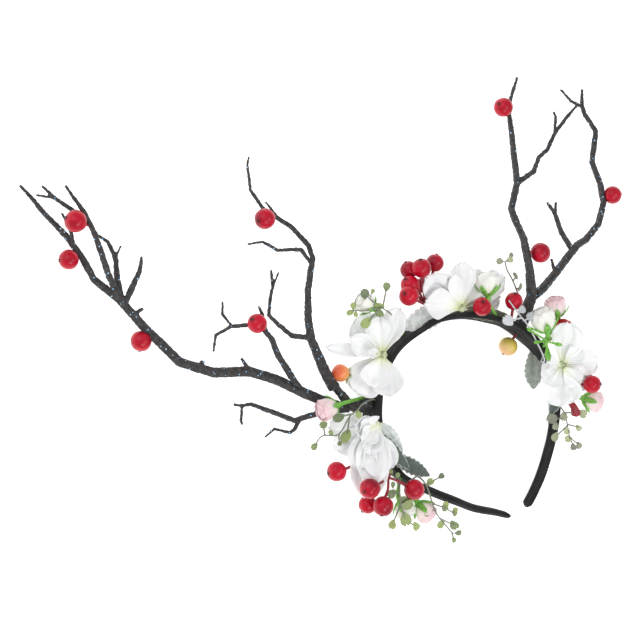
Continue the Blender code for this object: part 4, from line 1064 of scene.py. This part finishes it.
leaves = {
    "wall": 0.45, "rowsPerTooth": 4, "columns": 12, "bite": 0.24, "fold": 0.22, "midrib": 0.12,
    "wave": 0.07, "ripple": 0.02, "valley": 0.88, "fullness": 0.75, "least": 0.04, "midribWidth": 0.12,
    # node: finish, root (right, up, height), tip (right, up, height), width, teeth, how far its belly lies
    "places": {
        "leaf_left_inner": ("leafPale", (-50, -5, 26), (-36, -23.5, 25), 9, 7, 0.8),
        "leaf_left_lower_a": ("leafDark", (-54, -11, 27), (-31.5, -35.5, 27), 10, 9, 0.8),
        "leaf_left_lower_b": ("leafDark", (-51, -22, 21), (-18.5, -39.5, 22), 10.5, 11, 1.4),
        "leaf_top_left": ("leafPale", (-9, 68, 19), (-37, 56, 19), 15.5, 8, 0.8),
        "leaf_top": ("leafOlive", (33, 64, 22), (0, 67, 22), 8, 7, 0.8),
        "leaf_right_inner": ("leafSage", (49, 48, 2.5), (49, 17, 2.5), 12.5, 9, 1.5),
        "leaf_right_lower": ("leafDark", (66, 14, 18), (60, 0, 18), 8, 5, 0.8),
    },
}


def makeLeaf(node, finish, root, tip, width, teeth, belly):
    bm = newSkin()
    start = seenAt(*root)
    length, along, across, facing = sheetAxes(start, seenAt(*tip))
    wide, seed = width * mm, len(node)

    def pointAt(u, v):
        bite = leaves["valley"] + leaves["bite"] * ((u * teeth) % 1.0)
        half = wide / 2 * max(math.sin(math.pi * u ** belly) ** leaves["fullness"], leaves["least"]) * bite
        midrib = math.exp(-(v / leaves["midribWidth"]) ** 2)
        rise = half * (leaves["fold"] * abs(v) - leaves["midrib"] * midrib)
        rise += leaves["wave"] * wide * noise.noise(Vector((u * 3, v * 1.5, seed)))
        rise += leaves["ripple"] * wide * math.sin((u * teeth - abs(v)) * math.tau)
        return start + along * length * u + across * half * v + facing * rise

    addSheet(bm, teeth * leaves["rowsPerTooth"], leaves["columns"], pointAt, leaves["wall"] * mm)
    addPiece("foliage_" + node, bm, [finish], "leaf", node)


for leafNode, leafRow in leaves["places"].items():
    makeLeaf(leafNode, *leafRow)
print("leaves cut")


# Sprigs: wires that carry small heart-shaped leaflets, set by a node tree

sprigs = {
    # millimetres
    "wire": 0.45, "stalk": (0.3, 0.22), "nearest": 1.2,
    # shares: the thick plastic spray, a wire's foot, a leaflet's scale and how far its stalk reaches in
    "sprayThick": 1.5, "foot": 1.25, "bladeScale": 1.16, "stalkReach": 0.3,
    "tilt": 0.5, "shade": 0.9, "seed": 70,
    # a leaflet a unit long
    "leaflet": {"half": 0.42, "wall": 0.05, "notch": 0.22, "cup": 0.24, "bend": 0.1},
    "places": {
        "sprig_top_left": {"finish": "sprigGreen", "wires": [
            [(-40, 60, 16), (-44, 66, 28), (-50, 70, 33), (-59.5, 77, 33)],
            [(-49, 69.5, 33), (-46.6, 82, 33)],
            [(-50, 70, 33), (-58.5, 61, 33)],
            [(-49, 69.7, 33), (-60, 68, 33), (-68, 68, 33)]],
            "blades": [(-60.5, 78.5, 33, 7), (-55.5, 80.5, 33, 3.4), (-46.4, 83.5, 33, 5.5),
                (-51, 71, 33.6, 7.5), (-51, 66.5, 32.6, 6), (-60, 60, 33, 8), (-68, 71, 33, 4.5),
                (-70, 66.5, 33, 5), (-66.5, 65.5, 33, 3.5)]},
        "sprig_left": {"finish": "sprigGreen", "wires": [
            [(-56, 10, 20), (-62, 7, 30), (-65.5, 3, 33), (-70.5, -1, 34), (-77.5, -12.5, 34),
             (-88, -13.5, 33), (-93, -19.5, 32)],
            [(-70.5, -1, 34), (-72, -12, 34)],
            [(-77.5, -12.5, 34), (-77, -18.5, 34)],
            [(-86.5, -13.4, 33), (-87.5, -7, 33)],
            [(-67.5, 1, 33.5), (-76, -1, 34)]],
            "blades": [(-64.5, 0.5, 33, 5), (-77.5, -2, 34, 7.5), (-72.5, -14, 34.6, 9),
                (-87.5, -6.5, 33, 5.5), (-82.5, -11.5, 34, 4), (-93.5, -20.5, 32, 5),
                (-76.8, -18.5, 34, 3.5)]},
        "sprig_top_right": {"finish": "sprigGrey", "wires": [
            [(38, 62, 14), (41, 72, 16), (38.5, 80, 20), (35.5, 87.5, 26), (32, 94, 30), (30.5, 99.5, 32)],
            [(35.6, 87, 26), (37.3, 89.5, 30)],
            [(38, 81.5, 21), (40, 83, 26)]],
            "blades": [(27, 100, 32, 5), (33.8, 101, 32, 5), (37.6, 90.5, 32, 6), (40.5, 83, 28, 6.5),
                (34.5, 104, 32, 3.5)]},
        "sprig_right_front": {"finish": "sprigFrost", "wire": "paleWire", "wires": [
            [(54, 35, 24), (56, 37, 30), (46.5, 56.5, 31), (40, 65, 31.5), (33, 74.5, 32)],
            [(41.5, 63.2, 31.4), (33.5, 61.5, 31)],
            [(43, 61.3, 31.3), (46.8, 63.4, 31)]],
            "blades": [(32.5, 61.5, 30.6, 8), (41.5, 68.5, 31, 6), (47, 63.8, 31, 6)]},
        "sprig_right": {"finish": "sprigGrey", "wires": [
            [(64, 8, 14), (69, 2, 20), (71, -6, 20), (72.5, -14, 18), (75, -20, 16)],
            [(70, -2, 20), (62, -2.5, 21)],
            [(71, -7, 20), (63.5, -14, 18)],
            [(71, -6, 20), (78.5, -8, 18)],
            [(69, 1.5, 20), (80, 1.5, 18)],
            [(73, -15, 17.7), (78.3, -19, 16)]],
            "blades": [(61, -2.4, 21, 8), (63.4, -7.3, 20, 5), (68.7, -1, 20.4, 6), (63.2, -14.3, 18, 6),
                (70.7, -10.7, 19, 5), (78.4, -8.5, 18, 5), (71.6, -15.6, 17.5, 5.5),
                (78.6, -19.8, 16, 5), (75, -20.8, 16, 5), (81, 0.9, 18, 7)]},
        "sprig_bottom_left": {"finish": "sprigGreen", "wires": [
            [(-38, -40, 12), (-38, -47, 24), (-37.5, -54, 24), (-34.5, -67, 21), (-28, -72, 19)],
            [(-37, -57, 23.4), (-42.3, -70.5, 20)],
            [(-37.8, -50, 24), (-43, -51, 24)]],
            "blades": [(-42.6, -71.3, 20, 6), (-34, -68, 21, 8.5), (-27.3, -72.4, 19, 6),
                (-33, -58, 23.4, 8.5), (-43.2, -51.2, 24, 6.5), (-43.6, -36.7, 27, 3.5),
                (-39.3, -39.2, 27, 4), (-42.4, -45.3, 25, 4), (-35.6, -54.5, 24, 6),
                (-30.7, -53.3, 24, 5)]},
        "sprig_bottom_right": {"finish": "sprigGreen", "wires": [
            [(-26, -40, 14), (-20.5, -46, 22), (-17, -56, 21), (-13, -65.5, 18), (-3.4, -77, 12)],
            [(-16.5, -57.5, 20.7), (-8.5, -60.5, 18), (-2.5, -64, 16)],
            [(-12, -67, 17.5), (-3, -71.5, 16)],
            [(-20.8, -45.5, 22), (-11, -39.8, 22)],
            [(-4, -76.3, 12.4), (-2.7, -81, 11)]],
            "blades": [(-2.4, -71.6, 16, 7), (-11.3, -71, 16.2, 6), (0.3, -76.5, 12.5, 4.5),
                (-2.7, -81.3, 11, 4), (-2.2, -63.8, 16, 4.5), (-8.5, -60.5, 18, 5),
                (-10.8, -39.6, 22, 4.5), (-18, -43.5, 22, 5.5), (-8, -58.2, 18.6, 4.5),
                (-1.8, -61.9, 16.5, 4), (-19.6, -63.7, 19, 5)]},
        "green_bud_spray": {"finish": "calyx", "wire": "calyx", "narrow": 0.55, "wires": [
            [(57, 42, 14), (57.5, 48, 31), (54, 50.5, 32), (47, 55, 32)],
            [(57, 48, 31), (52, 47.5, 32)],
            [(57, 48, 31), (64.5, 46, 32)],
            [(57.2, 48.3, 31), (58.5, 40, 32)]],
            "blades": [(46.5, 55.3, 32, 5), (51.3, 47.4, 32, 5), (65, 46, 32, 5.5),
                (58.6, 39.5, 32, 9)]},
    },
}


def leafletSource():
    # a cupped heart a unit long, pointing along X and facing Z
    bm = newSkin()
    leaflet = sprigs["leaflet"]

    def pointAt(u, v):
        half = leaflet["half"] * math.sin(math.pi * min(u * 0.94 + 0.02, 1.0)) ** 0.6 * (0.55 + 0.6 * u)
        notch = leaflet["notch"] * math.exp(-(v / 0.3) ** 2) * smooth(0.7, 1.0, u)
        lift = leaflet["cup"] * half * v * v - leaflet["bend"] * (u - 0.5) ** 2
        return Vector((u - 0.5 - notch - 0.1 * v * v * u, half * v, lift))

    addSheet(bm, 8, 6, pointAt, leaflet["wall"])
    return newObject("leaflet", closedMesh("leaflet", bm))


def leafletTree(source):
    tree, given, result = newTree("leaflets")
    ids = {
        "narrow": socket(tree, "Width factor", "Float", 1.0),
        "finish": socket(tree, "Finish", "Material"),
    }
    nodes, links = tree.nodes, tree.links
    shape = nodes.new("GeometryNodeObjectInfo")
    shape.inputs["Object"].default_value = source
    reads = {}
    for name, kind in (("heading", "FLOAT_VECTOR"), ("facing", "FLOAT_VECTOR"), ("size", "FLOAT")):
        read = addNode(nodes, "GeometryNodeInputNamedAttribute", Name=name)
        read.data_type = kind
        reads[name] = read.outputs["Attribute"]
    forward = nodes.new("FunctionNodeAlignRotationToVector")
    forward.axis = "X"
    links.new(reads["heading"], forward.inputs["Vector"])
    upward = nodes.new("FunctionNodeAlignRotationToVector")
    upward.axis = "Z"
    upward.pivot_axis = "X"
    links.new(forward.outputs["Rotation"], upward.inputs["Rotation"])
    links.new(reads["facing"], upward.inputs["Vector"])
    shares = addNode(nodes, "ShaderNodeCombineXYZ", X=1.0, Z=1.0)
    links.new(given.outputs["Width factor"], shares.inputs["Y"])
    size = nodes.new("ShaderNodeVectorMath")
    size.operation = "SCALE"
    links.new(shares.outputs["Vector"], size.inputs[0])
    links.new(reads["size"], size.inputs["Scale"])
    endTree(tree, given, result, Points=given.outputs["Geometry"], Instance=shape.outputs["Geometry"],
            Rotation=upward.outputs["Rotation"], Scale=size.outputs[0])
    return tree, ids


def growBlades(bm, paths, sprig, chance):
    # stalks from the nearest wire, and the points that the leaflets stand on
    rows = {"heading": [], "facing": [], "size": [], "shade": []}
    stops = [place for path in paths for place in path]
    hub = seenAt(*sprig["wires"][0][1])
    centres = [seenAt(*blade[:3]) for blade in sprig["blades"]]
    for centre, (*_, length) in zip(centres, sprig["blades"]):
        start = min(stops, key=lambda place: (place - centre).length)
        heading = centre - start
        if heading.length < sprigs["nearest"] * mm:
            heading = centre - hub
        heading.normalize()
        facing = toViewer + Vector([chance.uniform(-sprigs["tilt"], sprigs["tilt"]) for _ in range(3)])
        rows["heading"] += heading[:]
        rows["facing"] += facing.normalized()[:]
        rows["size"].append(length * mm * sprigs["bladeScale"])
        rows["shade"].append(chance.uniform(0.0, sprigs["shade"]))
        stalkEnd = centre - heading * length * sprigs["stalkReach"] * mm
        addRod(bm, [start, stalkEnd], inMetres(sprigs["stalk"]), 5)
    points = bpy.data.meshes.new("points")
    points.from_pydata(centres, [], [])
    for name, values in rows.items():
        vector = name in ("heading", "facing")
        layer = points.attributes.new(name, "FLOAT_VECTOR" if vector else "FLOAT", "POINT")
        layer.data.foreach_set("vector" if vector else "value", values)
    return points


def makeSprigs():
    source = leafletSource()
    tree, ids = leafletTree(source)
    for number, (node, sprig) in enumerate(sprigs["places"].items()):
        spray = node == "green_bud_spray"
        thick = sprigs["wire"] * mm * (sprigs["sprayThick"] if spray else 1.0)
        bm = newSkin()
        paths = []
        for wire in sprig["wires"]:
            stops = [seenAt(*stop) for stop in wire]
            if not paths:
                stops.insert(0, onBand(*wire[0]))
            paths.append(roundPath(stops, 5))
            addRod(bm, paths[-1], (thick * sprigs["foot"], thick), 6)
        points = growBlades(bm, paths, sprig, random.Random(sprigs["seed"] + number))
        blades = bakeTree(points, tree, {
            ids["narrow"]: sprig.get("narrow", 1.0), ids["finish"]: finishes[sprig["finish"]]}, "blades")
        slot = "bright_green" if spray else "sprig"
        addPiece("wire_" + node, bm, [sprig.get("wire", "sprigWire")], slot, node)
        addMesh("leaflets_" + node, blades, [], slot)
    bpy.data.objects.remove(source)
    print("sprigs wired")


makeSprigs()


# Floor and studio light

stage = {"floorSize": 8.0, "world": 0.62}


def makeStage():
    bm = bmesh.new()
    bmesh.ops.create_grid(bm, x_segments=1, y_segments=1, size=stage["floorSize"] / 2)
    mesh = bpy.data.meshes.new("floor")
    bm.to_mesh(mesh)
    bm.free()
    mat, *_ = newMaterial(
        "paleFloor", Roughness=0.9, Specular_IOR_Level=0.1, Base_Color=(0.88, 0.88, 0.88, 1),
        Emission_Color=(1, 1, 1, 1), Emission_Strength=0.75)
    mesh.materials.append(mat)
    newObject("floor", mesh)


lamps = {
    # place as right, up and towards the viewer from the ring's centre, in metres; size; watts
    "lampLow": ((0.35, -0.75, 1.0), 0.5, 4.6),
    "lampRight": ((0.9, -0.1, 0.9), 0.45, 2.9),
    "lampHigh": ((-0.6, 0.8, 1.3), 1.2, 5.8),
}


def makeLamps():
    for name, ((right, up, near), size, watts) in lamps.items():
        data = bpy.data.lights.new(name, "AREA")
        data.size = size
        data.energy = watts
        lamp = newObject(name, data)
        lamp.location = ringCentre + sightRight * right + sightUp * up + toViewer * near
        towards = ringCentre - lamp.location
        lamp.rotation_euler = towards.to_track_quat("-Z", "Y").to_euler()
    world = bpy.data.worlds.new("studio")
    world.use_nodes = True
    sky = world.node_tree.nodes["Background"]
    sky.inputs["Color"].default_value = (1, 1, 1, 1)
    sky.inputs["Strength"].default_value = stage["world"]
    bpy.context.scene.world = world
    bpy.context.scene.view_settings.view_transform = "Standard"


makeStage()
makeLamps()
print("stage lit")
